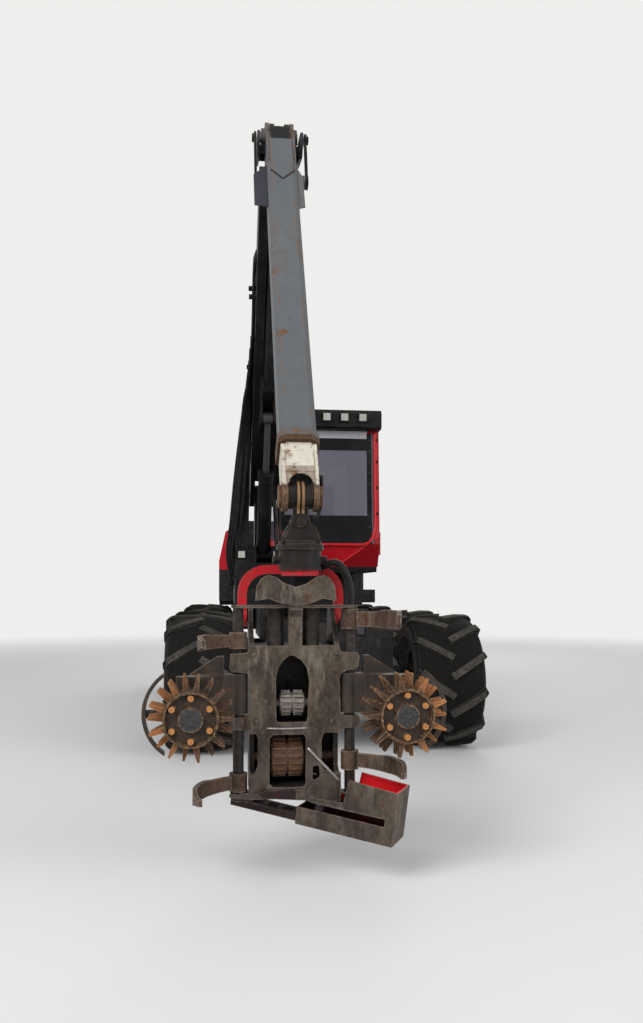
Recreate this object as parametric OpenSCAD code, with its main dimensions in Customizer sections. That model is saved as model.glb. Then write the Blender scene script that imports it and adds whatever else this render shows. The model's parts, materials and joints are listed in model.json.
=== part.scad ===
/* [Wheels] */
// Diameter of each tyre over its lugs
tyre_d = 1340; // [1200:10:1380]
// Width of each tyre
tyre_w = 710; // [600:10:720]
// Diameter of the rim under the tyre
rim_d = 674; // [600:2:720]
// Height of the lugs over the carcass
lug_h = 45; // [25:5:60]
// Thickness of one lug
lug_t = 62; // [40:2:80]
// Lugs on each half of a tyre
lug_n = 11; // [8:1:14]
// Slant of the lugs from straight across
lug_slant = 32; // [15:1:40]
// Distance from the middle of the machine to the middle of a wheel
track_half = 1185; // [1150:5:1250]
// Distance between the two wheels of a bogie
bogie_pitch = 1500; // [1460:10:1600]
// Place of the front bogie's middle along the machine
front_bogie_y = -555; // [-650:5:-500]
// Place of the rear bogie's middle along the machine
rear_bogie_y = 3575; // [3500:5:3700]

/* [Frames] */
// Place of the steering pivot along the machine
pivot_y = 1505; // [1450:5:1560]
// Half width of the frame boxes
frame_half = 400; // [350:5:440]
// Height of the frames' underside
frame_z = 812; // [800:2:860]
// Depth of the frame boxes
frame_h = 470; // [420:5:500]
// Foremost point of the front frame
nose_y = -1985; // [-2100:5:-1900]
// Rearmost point of the rear frame
tail_y = 5387; // [5200:1:5500]
// Thickness of frame plates
plate_t = 25; // [15:1:35]

/* [Slewing platform] */
// Place of the slewing axis along the machine
slew_y = 325; // [250:5:400]
// Diameter of the slewing ring
slew_d = 1080; // [900:10:1200]
// Height of the slewing ring
slew_h = 150; // [120:5:200]
// Thickness of the platform
deck_h = 150; // [100:5:160]

/* [Cab] */
// Right side of the cab, seen from the driver's place
cab_x0 = -360; // [-400:5:-340]
// Width of the cab
cab_w = 1160; // [1100:5:1180]
// Length of the cab
cab_l = 1800; // [1700:10:1850]
// Foremost point of the cab's front
cab_y = -175; // [-220:5:-150]
// Height of the cab floor
cab_z = 1785; // [1770:5:1800]
// Height of the windscreen's lower edge
sill_z = 2100; // [2050:5:2200]
// Height of the walls' upper edge
wall_top_z = 3400; // [3300:5:3450]
// Height of the roof
roof_h = 235; // [180:5:260]
// Thickness of the cab walls
wall_t = 60; // [40:2:80]
// Thickness of the glass
glass_t = 12; // [8:1:20]
// Length of the door
door_l = 860; // [700:10:900]

/* [Hood] */
// Half width of the hood
hood_half = 1030; // [900:10:1060]
// Front end of the hood
hood_y = 2330; // [2300:10:2500]
// Length of the hood
hood_l = 2910; // [2800:10:2950]
// Lower edge of the hood
hood_z = 1420; // [1400:5:1500]
// Height of the hood
hood_h = 1130; // [900:10:1200]
// Thickness of the hood's shell
hood_t = 30; // [20:1:40]

/* [Crane] */
// Distance of the crane from the machine's middle
crane_x = -560; // [-600:5:-520]
// Crane pivot along the machine
base_y = -565; // [-600:5:-500]
// Height of the crane pivot
base_z = 2600; // [2550:5:2700]
// Top pin along the machine
top_y = -3185; // [-3300:5:-3100]
// Height of the top pin
top_z = 5100; // [4900:10:5200]
// Tip pin along the machine
tip_y = -4995; // [-5100:5:-4900]
// Height of the tip pin
tip_z = 2120; // [2080:5:2200]
// Width of the main boom
boom_w = 280; // [260:5:300]
// Depth of the main boom at its middle
boom_h = 330; // [300:5:340]
// Width of the outer boom
stick_w = 218; // [200:2:230]
// Depth of the outer boom
stick_h = 250; // [230:5:280]
// Wall of the outer boom
stick_t = 10; // [8:1:14]
// Distance from the outer boom's mouth to the tip pin
tip_reach = 312.5; // [280:2.5:560]
// Start of the outer boom's tube under the top pin
stick_s = 470; // [450:5:600]
// Gap between a boom section and the one that slides in it
slide_gap = 8; // [6:1:12]
// Diameter of the crane's pins
pin_d = 80; // [60:2:90]
// Diameter of the crane's cylinders
barrel_d = 115; // [100:5:120]
// Diameter of the crane's rods
rod_d = 62; // [50:2:70]

/* [Head] */
// Sideways place of the head's middle
head_x = -600; // [-640:5:-560]
// Width of the frame's front plate
head_w = 500; // [480:5:520]
// Height of the front plate's lower edge
head_z = 450; // [430:5:470]
// Height of the front plate
head_h = 830; // [800:5:860]
// Depth of the head's frame
head_d = 360; // [320:5:400]
// Outer width of the yoke
yoke_w = 620; // [600:5:640]
// Height of the yoke's top
yoke_z = 1735; // [1720:5:1760]
// Thickness of the yoke
yoke_t = 52; // [40:2:54]
// Diameter of the rotator
rotator_d = 270; // [240:5:290]
// Diameter of a feed roller over its spikes
roller_d = 445; // [420:5:470]
// Length of a feed roller
roller_l = 240; // [200:5:260]
// Distance of the feed rollers from the head's middle
roller_x = 560; // [540:5:600]
// Height of the feed rollers
roller_z = 930; // [900:5:960]
// Spikes in one row of a feed roller
spike_n = 9; // [8:1:18]
// Height of the spikes
spike_h = 80; // [30:2:90]
// Thickness of the knives
knife_t = 22; // [16:1:30]
// Height of the knives
knife_h = 112; // [90:2:150]

/* [Hidden] */
SIDES = [["l", 1], ["r", -1]];
WHEELS = [
    ["1", front_bogie_y - bogie_pitch / 2],
    ["2", front_bogie_y + bogie_pitch / 2],
    ["3", rear_bogie_y - bogie_pitch / 2],
    ["4", rear_bogie_y + bogie_pitch / 2]
];

gap = 0.3;
tyre_r = tyre_d / 2;
rim_r = rim_d / 2;
carcass_r = tyre_r - lug_h;
axle_z = tyre_r;
disc_x = 60;
disc_t = 22;
hub_r = 175;
bogie_x0 = 610;
bogie_x1 = 790;
bogie_h = 300;
frame_top = frame_z + frame_h;
ring_z = frame_top;
deck_z = ring_z + slew_h;
ring_split = ring_z + slew_h * 0.6;
deck_top = deck_z + deck_h;

base_p = [base_y, base_z];
top_p = [top_y, top_z];
tip_p = [tip_y, tip_z];
boom_len = norm(top_p - base_p);
stick_len = norm(tip_p - top_p);
// Length of the outer boom from the top pin
stick_l = stick_len - tip_reach;
// Gap between the outer boom's mouth and the root of the telescope's fork
fork_gap = 2;

// A point at distance s from p towards q, and n to the left of that line as Y runs right
function unit(p, q) = (q - p) / norm(q - p);
function side_of(u) = [u[1], -u[0]];
function along(p, q, s, n) = p + s * unit(p, q) + n * side_of(unit(p, q));
function angle_of(p, q) = atan2(q[1] - p[1], q[0] - p[0]);

// Extrudes an outline drawn in Y and Z over the width w, middle at x
module slab(x, w) {
    translate([x - w / 2, 0, 0])
        rotate([90, 0, 90])
            linear_extrude(w)
                children();
}

// A shaft or pin across the machine, middle at x
module cross_pin(x, p, d, w) {
    translate([x - w / 2, p[0], p[1]])
        rotate([0, 90, 0])
            cylinder(d = d, h = w, $fn = 48);
}

// An outline along the line p to q, from rows of distance and offset
module bar2d(p, q, rows) {
    polygon([for (r = rows) along(p, q, r[0], r[1])]);
}

module round2d(p, d) {
    translate(p)
        circle(d = d, $fn = 48);
}

module tyre() {
    // rows: radius, distance from the tyre's middle as a share of its width
    half = [[rim_r + gap, 0.36], [rim_r + 40, 0.4], [rim_r + 110, 0.485], [carcass_r - 90, 0.485],
        [carcass_r - 30, 0.44], [carcass_r, 0.33]];
    count = len(half);
    color([0.13, 0.12, 0.11]) {
        rotate([0, 90, 0])
            rotate_extrude($fn = 64)
                polygon(concat(
                    [for (r = half) [r[0], r[1] * tyre_w]],
                    [for (i = [count - 1:-1:0]) [half[i][0], -half[i][1] * tyre_w]]));
        for (s = [-1, 1], i = [0:lug_n - 1])
            rotate([(i + (s > 0 ? 0.5 : 0)) * 360 / lug_n, 0, 0])
                rotate([0, 0, s * lug_slant])
                    lug(s);
    }
}

// One lug: from the middle of the tread over the shoulder
module lug(s) {
    reach = (tyre_w / 2 - lug_t / 2 * sin(lug_slant)) / cos(lug_slant);
    // height of the tread at a share of the lug's reach, for the radius r
    function top_at(share, r) = sqrt(r * r - pow(share * reach * sin(lug_slant) + lug_t / 2, 2));
    rotate([90, 0, 0])
        translate([0, 0, -lug_t / 2])
            linear_extrude(lug_t)
                scale([s, 1])
                    polygon([[-10, carcass_r - 35], [-10, top_at(0, tyre_r)], [reach * 0.5, top_at(0.5, tyre_r - 1)],
                        [reach * 0.9, top_at(0.9, tyre_r - 8)], [reach, top_at(1, tyre_r - 40)],
                        [reach, top_at(1, carcass_r - 80)], [reach * 0.9, top_at(0.9, carcass_r - 110)],
                        [reach * 0.6, top_at(0.6, carcass_r - 40)]]);
}

module rim() {
    color([0.2, 0.2, 0.21]) {
        rotate([0, 90, 0])
            rotate_extrude($fn = 64)
                polygon([[rim_r, -0.37 * tyre_w], [rim_r, 0.37 * tyre_w], [rim_r - 22, 0.385 * tyre_w],
                    [rim_r - 34, 0.36 * tyre_w], [rim_r - 24, 0.3 * tyre_w], [rim_r - 24, disc_x + 90],
                    [hub_r + 40, disc_x + disc_t], [hub_r, disc_x + disc_t], [hub_r, disc_x + 120],
                    [hub_r - 30, disc_x + 150], [90, disc_x + 160], [90, disc_x + 185], [0, disc_x + 185],
                    [0, disc_x], [hub_r + 30, disc_x], [rim_r - 24, disc_x + 60],
                    [rim_r - 24, -0.36 * tyre_w]]);
        for (i = [0:11])
            rotate([i * 30, 0, 0])
                translate([disc_x + disc_t - 4, 0, hub_r + 22])
                    rotate([0, 90, 0])
                        cylinder(d = 26, h = 24, $fn = 6);
    }
}

module at_wheel(s, y) {
    translate([s * track_half, y, axle_z])
        rotate([0, 0, s > 0 ? 0 : 180])
            children();
}

// Both sides' cases, the axle beam and the stub axles of one bogie
module bogie(y) {
    end_r = bogie_h / 2;
    color([0.24, 0.24, 0.25])
        for (side = SIDES)
            scale([side[1], 1, 1]) {
                slab((bogie_x0 + bogie_x1) / 2, bogie_x1 - bogie_x0)
                    polygon([[y - bogie_pitch / 2 - 60, axle_z - end_r], [y - 250, axle_z - end_r - 30],
                        [y + 250, axle_z - end_r - 30], [y + bogie_pitch / 2 + 60, axle_z - end_r],
                        [y + bogie_pitch / 2 + end_r + 30, axle_z - 80], [y + bogie_pitch / 2 + end_r + 30, axle_z + 80],
                        [y + bogie_pitch / 2 + 60, axle_z + end_r], [y + 250, axle_z + end_r + 90],
                        [y - 250, axle_z + end_r + 90], [y - bogie_pitch / 2 - 60, axle_z + end_r],
                        [y - bogie_pitch / 2 - end_r - 30, axle_z + 80], [y - bogie_pitch / 2 - end_r - 30, axle_z - 80]]);
                for (e = [-1, 1])
                    translate([bogie_x1 - 5, y + e * bogie_pitch / 2, axle_z])
                        rotate([0, 90, 0]) {
                            cylinder(r = 118, h = track_half + disc_x - bogie_x1 + 5 - 60, $fn = 48);
                            cylinder(r = 90, h = track_half + disc_x - bogie_x1 + 5 - gap, $fn = 48);
                            cylinder(r = 190, h = 60, $fn = 48);
                        }
                slab(bogie_x0 / 2, bogie_x0 + 2)
                    polygon([[y - 150, axle_z - 110], [y + 150, axle_z - 110], [y + 150, frame_z - 90],
                        [y + 100, frame_z - gap], [y - 100, frame_z - gap], [y - 150, frame_z - 90]]);
                translate([bogie_x0 - 120, y, axle_z])
                    rotate([0, 90, 0])
                        cylinder(r = 165, h = 125, $fn = 48);
                translate([0, y, axle_z])
                    rotate([0, 90, 0])
                        cylinder(r = frame_z - axle_z - 8, h = 160, $fn = 48);
            }
}

module front_frame() {
    color([0.17, 0.17, 0.18]) {
        difference() {
            slab(0, 2 * frame_half)
                polygon([[nose_y + 60, frame_top - 130], [nose_y + 60, frame_z + 100], [nose_y + 190, frame_z],
                    [pivot_y - 240, frame_z], [pivot_y - 240, frame_top], [nose_y + 160, frame_top]]);
            // the well behind the nose
            translate([-frame_half + 90, nose_y + 220, frame_top - 150])
                cube([2 * frame_half - 180, 520, 200]);
        }
        // nose guard
        slab(0, 1180)
            polygon([[nose_y, frame_z - 40], [nose_y + 60, frame_z - 90], [nose_y + 85, frame_z - 90],
                [nose_y + 61, frame_z + 40], [nose_y + 61, frame_top - 40], [nose_y + 40, frame_top - 10],
                [nose_y, frame_top - 70]]);
        // pivot fork: an upper and a lower ear
        for (z = [frame_z + 10, frame_top - 70])
            translate([0, 0, z])
                difference() {
                    linear_extrude(60)
                        union() {
                            polygon([[-300, pivot_y - 245], [300, pivot_y - 245], [115, pivot_y], [-115, pivot_y]]);
                            translate([0, pivot_y])
                                circle(d = 230, $fn = 64);
                        }
                    translate([0, pivot_y, -1])
                        cylinder(d = 110 + 2 * gap, h = 62, $fn = 64);
                }
        // steps up to the platform on the left side
        for (i = [0:2])
            translate([frame_half - 2, pivot_y - 580, frame_z - 190 + i * 215])
                difference() {
                    cube([250 - i * 30, 330, 30]);
                    for (k = [0:2])
                        translate([45, 30 + k * 95, -1])
                            cube([140 - i * 30, 75, 32]);
                }
        for (y = [pivot_y - 580, pivot_y - 280])
            translate([frame_half - 2, y, frame_z - 190])
                cube([30, 30, 460]);
        // brackets of the small lamps on the nose
        for (x = [-280, 280])
            translate([x - 45, nose_y + 30, frame_top - 15])
                cube([90, 50, 16]);
    }
    color([0.9, 0.9, 0.85])
        for (x = [-280, 280])
            translate([x - 40, nose_y + 12, frame_top - 118])
                translate([0, -32, 0])
                    cube([80, 50, 80]);
    color([0.2, 0.2, 0.2])
        translate([0, slew_y, ring_z - 1])
            cylinder(d = slew_d - 120, h = ring_split - ring_z + 1, $fn = 96);
}

module rear_frame() {
    color([0.17, 0.17, 0.18]) {
        difference() {
            slab(0, 2 * frame_half)
                polygon([[pivot_y + 260, frame_z], [tail_y - 150, frame_z], [tail_y, frame_z + 120],
                    [tail_y, frame_top + 100], [hood_y + 60, frame_top + 100], [hood_y - 100, frame_top],
                    [pivot_y + 260, frame_top]]);
            // the engine bay, open at the top
            translate([-frame_half + 60, hood_y + 350, frame_z + 90])
                cube([2 * frame_half - 120, 2200, frame_h + 100]);
        }
        // tongue between the ears of the front frame
        translate([0, 0, frame_z + 78])
            linear_extrude(frame_h - 156)
                polygon([[-85, pivot_y + 75], [85, pivot_y + 75], [260, pivot_y + 262], [-260, pivot_y + 262]]);
        translate([0, pivot_y, frame_z + 78])
            cylinder(d = 210, h = frame_h - 156, $fn = 64);
        translate([0, pivot_y, frame_z - 5])
            cylinder(d = 110, h = frame_h + 10, $fn = 64);
        // shelves under the hood's sides
        for (side = SIDES)
            scale([side[1], 1, 1])
                slab((frame_half + hood_half - 5) / 2, hood_half - 5 - frame_half)
                    polygon([[hood_y + 80, hood_z - 60], [hood_y + hood_l - 60, hood_z - 60],
                        [hood_y + hood_l - 60, hood_z - gap], [hood_y + 80, hood_z - gap]]);
        // hinge brackets of the hood
        for (x = hinge_xs)
            slab(x + 22, 20)
                polygon([[hood_p[0] - 30, hood_p[1] - 100], [hood_p[0] + 40, hood_p[1] - 100],
                    [hood_p[0] + 20, hood_p[1] + 14], [hood_p[0] + 2, hood_p[1] + 14], [hood_p[0] - 14, hood_p[1] - 20]]);
        for (x = hinge_xs)
            cross_pin(x, hood_p, 20, 60);
        // rear guard with the tow bore's ears
        slab(0, 1500)
            polygon([[tail_y, frame_z + 60], [tail_y + 100, frame_z + 100], [tail_y + 100, frame_top + 50],
                [tail_y, frame_top + 99]]);
    }
    color([0.1, 0.1, 0.1])
        difference() {
            for (z = [frame_z + 20, frame_z + 120])
                translate([0, 0, z])
                    linear_extrude(30)
                        union() {
                            polygon([[-110, tail_y - 140], [110, tail_y - 140], [70, tail_y + 130],
                                [-70, tail_y + 130]]);
                            translate([0, tail_y + 130])
                                circle(d = 140, $fn = 48);
                        }
            translate([0, tail_y + 130, frame_z])
                cylinder(d = 50, h = 200, $fn = 48);
        }
}

hood_p = [hood_y + hood_l + 20, hood_z];
hinge_xs = [-520, 480];

module engine_block() {
    color([0.3, 0.3, 0.3])
        translate([-300, hood_y + 900, frame_z + 90 + gap])
            cube([600, 1300, 900]);
}

// The hood's cross section: X and Z over its lower edge
function hood_outline(t) = [
    [-hood_half + t, -1], [-hood_half + t, hood_h * 0.5], [-hood_half + 90 + t * 0.8, hood_h * 0.86],
    [-hood_half + 330 + t * 0.5, hood_h - t], [hood_half - 330 - t * 0.5, hood_h - t],
    [hood_half - 90 - t * 0.8, hood_h * 0.86], [hood_half - t, hood_h * 0.5], [hood_half - t, -1]];

module hood() {
    color([0.72, 0.06, 0.09])
        difference() {
            translate([0, hood_y + hood_l, hood_z])
                rotate([90, 0, 0])
                    linear_extrude(hood_l)
                        polygon(hood_outline(0));
            translate([0, hood_y + hood_l - hood_t, hood_z])
                rotate([90, 0, 0])
                    linear_extrude(hood_l - 2 * hood_t)
                        polygon(hood_outline(hood_t));
            translate([-1500, hood_y - 100, hood_z - 300])
                cube([3000, hood_l + 200, 300]);
            // air slots in the sides
            for (s = [-1, 1], i = [0:7])
                translate([s > 0 ? hood_half - 80 : -hood_half - 20, hood_y + 1750, hood_z + 110 + i * 52])
                    cube([100, 1050, 26]);
            // radiator opening in the rear wall
            for (i = [0:12])
                translate([-560, hood_y + hood_l - 100, hood_z + 160 + i * 56])
                    cube([1120, 200, 30]);
            // slope of the front upper edge
            translate([-1500, hood_y, hood_z + hood_h])
                rotate([-35, 0, 0])
                    translate([0, -900, -100])
                        cube([3000, 900, 600]);
        }
    color([0.2, 0.2, 0.2])
        for (x = hinge_xs)
            difference() {
                cross_pin(x, hood_p, 48, 22);
                cross_pin(x, hood_p, 20 + 2 * gap, 30);
            }
    color([0.12, 0.12, 0.12])
        translate([560, hood_y + 800, hood_z + hood_h - 10])
            difference() {
                cylinder(d = 130, h = 240, $fn = 48);
                translate([0, 0, 60])
                    cylinder(d = 110, h = 200, $fn = 48);
            }
}

// The platform that turns with the cab and the crane
module deck() {
    color([0.14, 0.14, 0.15]) {
        translate([0, slew_y, ring_split + gap])
            cylinder(d = slew_d, h = deck_z + 1 - ring_split - gap, $fn = 96);
        translate([0, 0, deck_z])
            linear_extrude(deck_h)
                polygon([[-860, -880], [-260, -900], [-240, cab_y + 60], [cab_x0 + cab_w - 30, cab_y + 130],
                    [cab_x0 + cab_w - 30, cab_y + cab_l - 120], [500, cab_y + cab_l], [-300, cab_y + cab_l],
                    [-700, 900], [-860, 300]]);
        // mounts under the cab's corners
        for (x = [cab_x0 + 120, cab_x0 + cab_w - 240], y = [cab_y + 250, cab_y + cab_l - 350])
            translate([x, y, deck_top - 1])
                cylinder(d = 150, h = cab_z - deck_top + 1 - gap, $fn = 48);
    }
}

cab_xm = cab_x0 + cab_w / 2;
cab_y1 = cab_y + cab_l;
door_y = cab_y + 330;
door_z0 = cab_z + 95;
door_z1 = wall_top_z - 70;

// Side outline of the cab between the floor and the roof, shrunk by t
module cab_side(t) {
    polygon([[cab_y + t, sill_z], [cab_y + 70 + t, wall_top_z - t * 0], [cab_y1 - t, wall_top_z],
        [cab_y1 - t, cab_z + 420], [cab_y1 - 130 - t * 0.4, cab_z + 60 + t * 0.01], [cab_y + 130 + t * 0.7, cab_z + 60]]);
}

module cab_floor() {
    color([0.12, 0.12, 0.12])
        slab(cab_xm, cab_w - 20)
            polygon([[cab_y + 150, cab_z], [cab_y + 132, cab_z + 60 - gap], [cab_y1 - 132, cab_z + 60 - gap],
                [cab_y1 - 160, cab_z]]);
}

module cab_shell() {
    front_x0 = cab_x0 + 75;
    front_x1 = cab_x0 + cab_w - 100;
    color([0.76, 0.07, 0.1])
        difference() {
            slab(cab_xm, cab_w)
                cab_side(0);
            slab(cab_xm, cab_w - 2 * wall_t)
                cab_side(wall_t);
            // the floor opening, closed by the floor pan
            translate([cab_x0 + wall_t, cab_y + 130 + wall_t, cab_z])
                cube([cab_w - 2 * wall_t, cab_l - 260 - 2 * wall_t, 62]);
            // front, down to the lower panel
            translate([front_x0, cab_y - 100, sill_z + 40])
                cube([front_x1 - front_x0, 320, wall_top_z - sill_z - 110]);
            // rear window
            translate([cab_x0 + 110, cab_y1 - 100, sill_z + 250])
                cube([cab_w - 220, 200, 880]);
            // right side window
            slab(cab_x0, 4 * wall_t)
                polygon([[cab_y + 150, sill_z + 60], [cab_y + 190, wall_top_z - 80], [cab_y1 - 160, wall_top_z - 80],
                    [cab_y1 - 160, sill_z + 160]]);
            // left side: doorway and the small window behind it
            translate([cab_x0 + cab_w - 100, door_y, door_z0])
                cube([200, door_l, door_z1 - door_z0]);
            translate([cab_x0 + cab_w - 100, door_y + door_l + 70, sill_z + 160])
                cube([200, cab_y1 - 150 - door_y - door_l - 70, wall_top_z - sill_z - 240]);
        }
}

module cab_roof() {
    roof_z = wall_top_z + gap;
    color([0.1, 0.1, 0.11]) {
        slab(cab_xm, cab_w + 10)
            polygon([[cab_y - 95, roof_z + 20], [cab_y - 40, roof_z], [cab_y1 - 20, roof_z], [cab_y1 + 20, roof_z + 60],
                [cab_y1 - 60, roof_z + roof_h - 30], [cab_y + 250, roof_z + roof_h], [cab_y - 60, roof_z + roof_h - 20],
                [cab_y - 95, roof_z + roof_h - 60]]);
        for (x = [cab_xm - 90, cab_xm + 110, cab_xm + 318])
            translate([x - 5, cab_y - 94 - 20, roof_z + 70])
                cube([105, 22, 105]);
    }
    // work lamps in the visor
    color([0.9, 0.92, 0.9])
        for (x = [cab_xm - 90, cab_xm + 110, cab_xm + 318])
            translate([x + 2, cab_y - 94 - 30, roof_z + 77])
                cube([91, 12, 91]);
}

module glazing() {
    lean = atan2(70, wall_top_z - sill_z);
    color([0.35, 0.33, 0.42]) {
        // the windscreen lies on the outside of the front frame
        translate([cab_x0 + 40, cab_y, sill_z])
            rotate([-lean, 0, 0])
                translate([0, -glass_t - gap, 8])
                    cube([cab_w - 110, glass_t, wall_top_z - sill_z - 30]);
        translate([cab_x0 + 90, cab_y1 + gap, sill_z + 230])
            cube([cab_w - 180, glass_t, 920]);
        slab(cab_x0 - glass_t / 2 - gap, glass_t)
            polygon([[cab_y + 130, sill_z + 40], [cab_y + 172, wall_top_z - 60], [cab_y1 - 140, wall_top_z - 60],
                [cab_y1 - 140, sill_z + 140]]);
        slab(cab_x0 + cab_w + glass_t / 2 + gap, glass_t)
            polygon([[door_y + door_l + 50, sill_z + 140], [door_y + door_l + 50, wall_top_z - 60],
                [cab_y1 - 130, wall_top_z - 60], [cab_y1 - 130, sill_z + 140]]);
    }
}

module seat() {
    floor_z = cab_z + 60;
    ys = cab_y + 900;
    color([0.16, 0.16, 0.17]) {
        translate([cab_xm - 90, ys + 120, floor_z])
            cube([180, 200, 260]);
        translate([cab_xm - 240, ys, floor_z + 259])
            cube([480, 500, 130]);
        slab(cab_xm, 460)
            polygon([[ys + 400, floor_z + 380], [ys + 520, floor_z + 380], [ys + 600, floor_z + 1080],
                [ys + 500, floor_z + 1080]]);
        for (s = [-1, 1])
            translate([cab_xm + s * 300 - 55, ys + 60, floor_z + 520])
                cube([110, 420, 70]);
        for (s = [-1, 1])
            translate([cab_xm + s * 270 - 35, ys + 350, floor_z + 330])
                cube([70, 80, 195]);
    }
}

module door() {
    x = cab_x0 + cab_w + gap;
    color([0.76, 0.07, 0.1])
        difference() {
            slab(x + 15, 30)
                polygon([[door_y - 30, door_z0 - 20], [door_y - 30, door_z1 + 30], [door_y + door_l + 30, door_z1 + 30],
                    [door_y + door_l + 30, door_z0 - 20]]);
            slab(x + 15, 60)
                polygon([[door_y + 50, sill_z + 90], [door_y + 50, door_z1 - 40], [door_y + door_l - 50, door_z1 - 40],
                    [door_y + door_l - 50, sill_z + 90]]);
        }
    color([0.1, 0.1, 0.1])
        translate([x + 29, door_y + 20, sill_z + 20]) {
            cube([45, 24, 24]);
            translate([21, 0, -130])
                cube([24, 24, 270]);
        }
}

module door_glass() {
    x = cab_x0 + cab_w + gap + 30 + gap;
    color([0.35, 0.33, 0.42])
        slab(x + 4, 8)
            polygon([[door_y + 60, sill_z + 70], [door_y + 60, door_z1 - 20], [door_y + door_l - 40, door_z1 - 20],
                [door_y + door_l - 40, sill_z + 70]]);
}

// Places along the main boom, measured from its base pin: distance and offset
lift_foot = [-720, 1950];
lift_eye_w = 150;
lift_eye = [1200, -280];
stick_foot = [1500, -235];
rocker_pin = [boom_len - 163, 66];
rocker_arm = 280;
rocker_arm_turn = 11.46;
link_top = [-3349, 5009];
link_s = 550;

rocker_c = along(base_p, top_p, rocker_pin[0], rocker_pin[1]);
link_b = along(top_p, tip_p, link_s, 0);
lift_h = along(base_p, top_p, lift_eye[0], lift_eye[1]);
stick_e = along(base_p, top_p, stick_foot[0], stick_foot[1]);
rocker_u = unit(rocker_c, link_top);
rocker_k = rocker_c + rocker_arm * [
    rocker_u[0] * cos(rocker_arm_turn) - rocker_u[1] * sin(rocker_arm_turn),
    rocker_u[0] * sin(rocker_arm_turn) + rocker_u[1] * cos(rocker_arm_turn)];

module crane_base() {
    cheek = 170;
    color([0.09, 0.09, 0.1]) {
        difference() {
            slab(crane_x, 600)
                polygon([[base_y - 310, deck_top + gap], [base_y + 390, deck_top + gap], [base_y + 390, deck_top + 400],
                    [base_y + 330, deck_top + 460], [base_y - 260, deck_top + 460], [base_y - 310, deck_top + 400]]);
            // recess of the lift cylinder's foot
            translate([crane_x - lift_eye_w / 2 - 6, base_y - 400, lift_foot[1] - 90])
                cube([lift_eye_w + 12, 380, 400]);
        }
        slab(crane_x, cheek)
            polygon([[base_y - 10, deck_top + 300], [base_y + 260, deck_top + 300], [base_y + 260, deck_top + 455],
                [base_y + 110, base_z + 20], [base_y - 105, base_z + 20], [base_y - 30, deck_top + 455]]);
        cross_pin(crane_x, base_p, 220, cheek);
        cross_pin(crane_x, base_p, pin_d, boom_w + 30);
        cross_pin(crane_x, lift_foot, 50, lift_eye_w + 60);
    }
    // work lamps at the foot of the crane
    color([0.92, 0.92, 0.9])
        for (x = [crane_x - 275, crane_x + 90])
            translate([x, base_y - 335, deck_top + 330])
                cube([85, 26, 75]);
}

// Gap in the boom's top end, in which the stick cylinder's rod moves
tongue_gap = 80;

module main_boom() {
    h = boom_h / 2;
    color([0.09, 0.09, 0.1]) {
        difference() {
            slab(crane_x, boom_w)
                difference() {
                    union() {
                        bar2d(base_p, top_p, [[-40, -120], [260, -h], [2500, -h + 10], [boom_len - 330, -115],
                            [boom_len - 250, -95], [boom_len - 250, 95], [boom_len - 330, 115], [2500, h - 10],
                            [300, h], [-40, 120]]);
                        round2d(base_p, 240);
                    }
                    round2d(base_p, pin_d + 2 * gap);
                }
            // the fork at the foot, round the pillar
            slab(crane_x, 170 + 14)
                bar2d(base_p, top_p, [[-200, -300], [330, -300], [330, 300], [-200, 300]]);
            // channel that the stick cylinder swings into as the outer boom unfolds
            slab(crane_x, barrel_d + 14)
                bar2d(base_p, top_p, [[stick_foot[0], -400], [stick_foot[0], -170], [stick_foot[0] + 1580, -50],
                    [stick_foot[0] + 1580, -400]]);
            slab(crane_x, tongue_gap)
                bar2d(base_p, top_p, [[stick_foot[0] + 1500, -400], [stick_foot[0] + 1500, -70],
                    [boom_len - 240, -28], [boom_len - 240, -400]]);
        }
        // forked tongue at the top, between the outer boom's plates
        for (s = [-1, 1])
            slab(crane_x + s * (150 + tongue_gap) / 4, (150 - tongue_gap) / 2)
                difference() {
                    union() {
                        bar2d(base_p, top_p, [[boom_len - 260, -94], [boom_len, -94], [boom_len, 94],
                            [boom_len - 260, 94]]);
                        round2d(top_p, 200);
                    }
                    round2d(top_p, pin_d + 2 * gap);
                }
        // lugs of the lift cylinder's eye
        for (s = [-1, 1])
            slab(crane_x + s * 65, 24)
                difference() {
                    union() {
                        bar2d(base_p, top_p, [[lift_eye[0] - 330, -h + 4], [lift_eye[0] - 60, lift_eye[1] - 20],
                            [lift_eye[0] + 60, lift_eye[1] - 20], [lift_eye[0] + 260, -h + 4]]);
                        round2d(lift_h, 130);
                    }
                    round2d(lift_h, 50);
                }
        // ears of the stick cylinder's foot
        for (s = [-1, 1])
            slab(crane_x + s * 62, 24)
                bar2d(base_p, top_p, [[stick_foot[0] - 100, -h + 12], [stick_foot[0] - 50, stick_foot[1] - 45],
                    [stick_foot[0] + 50, stick_foot[1] - 45], [stick_foot[0] + 100, -h + 12]]);
        cross_pin(crane_x, stick_e, 50, 148);
        // pin of the rocker
        cross_pin(crane_x, rocker_c, 70, 2 * 176);
    }
    // hose guides on the right flank
    color([0.35, 0.35, 0.35])
        for (d = [700, 1500, 2300])
            slab(crane_x - boom_w / 2 - 30, 62)
                difference() {
                    bar2d(base_p, top_p, [[d, -60], [d + 40, -60], [d + 40, 110], [d, 110]]);
                    bar2d(base_p, top_p, [[d - 10, -40], [d + 50, -40], [d + 50, 90], [d - 10, 90]]);
                }
}

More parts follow.
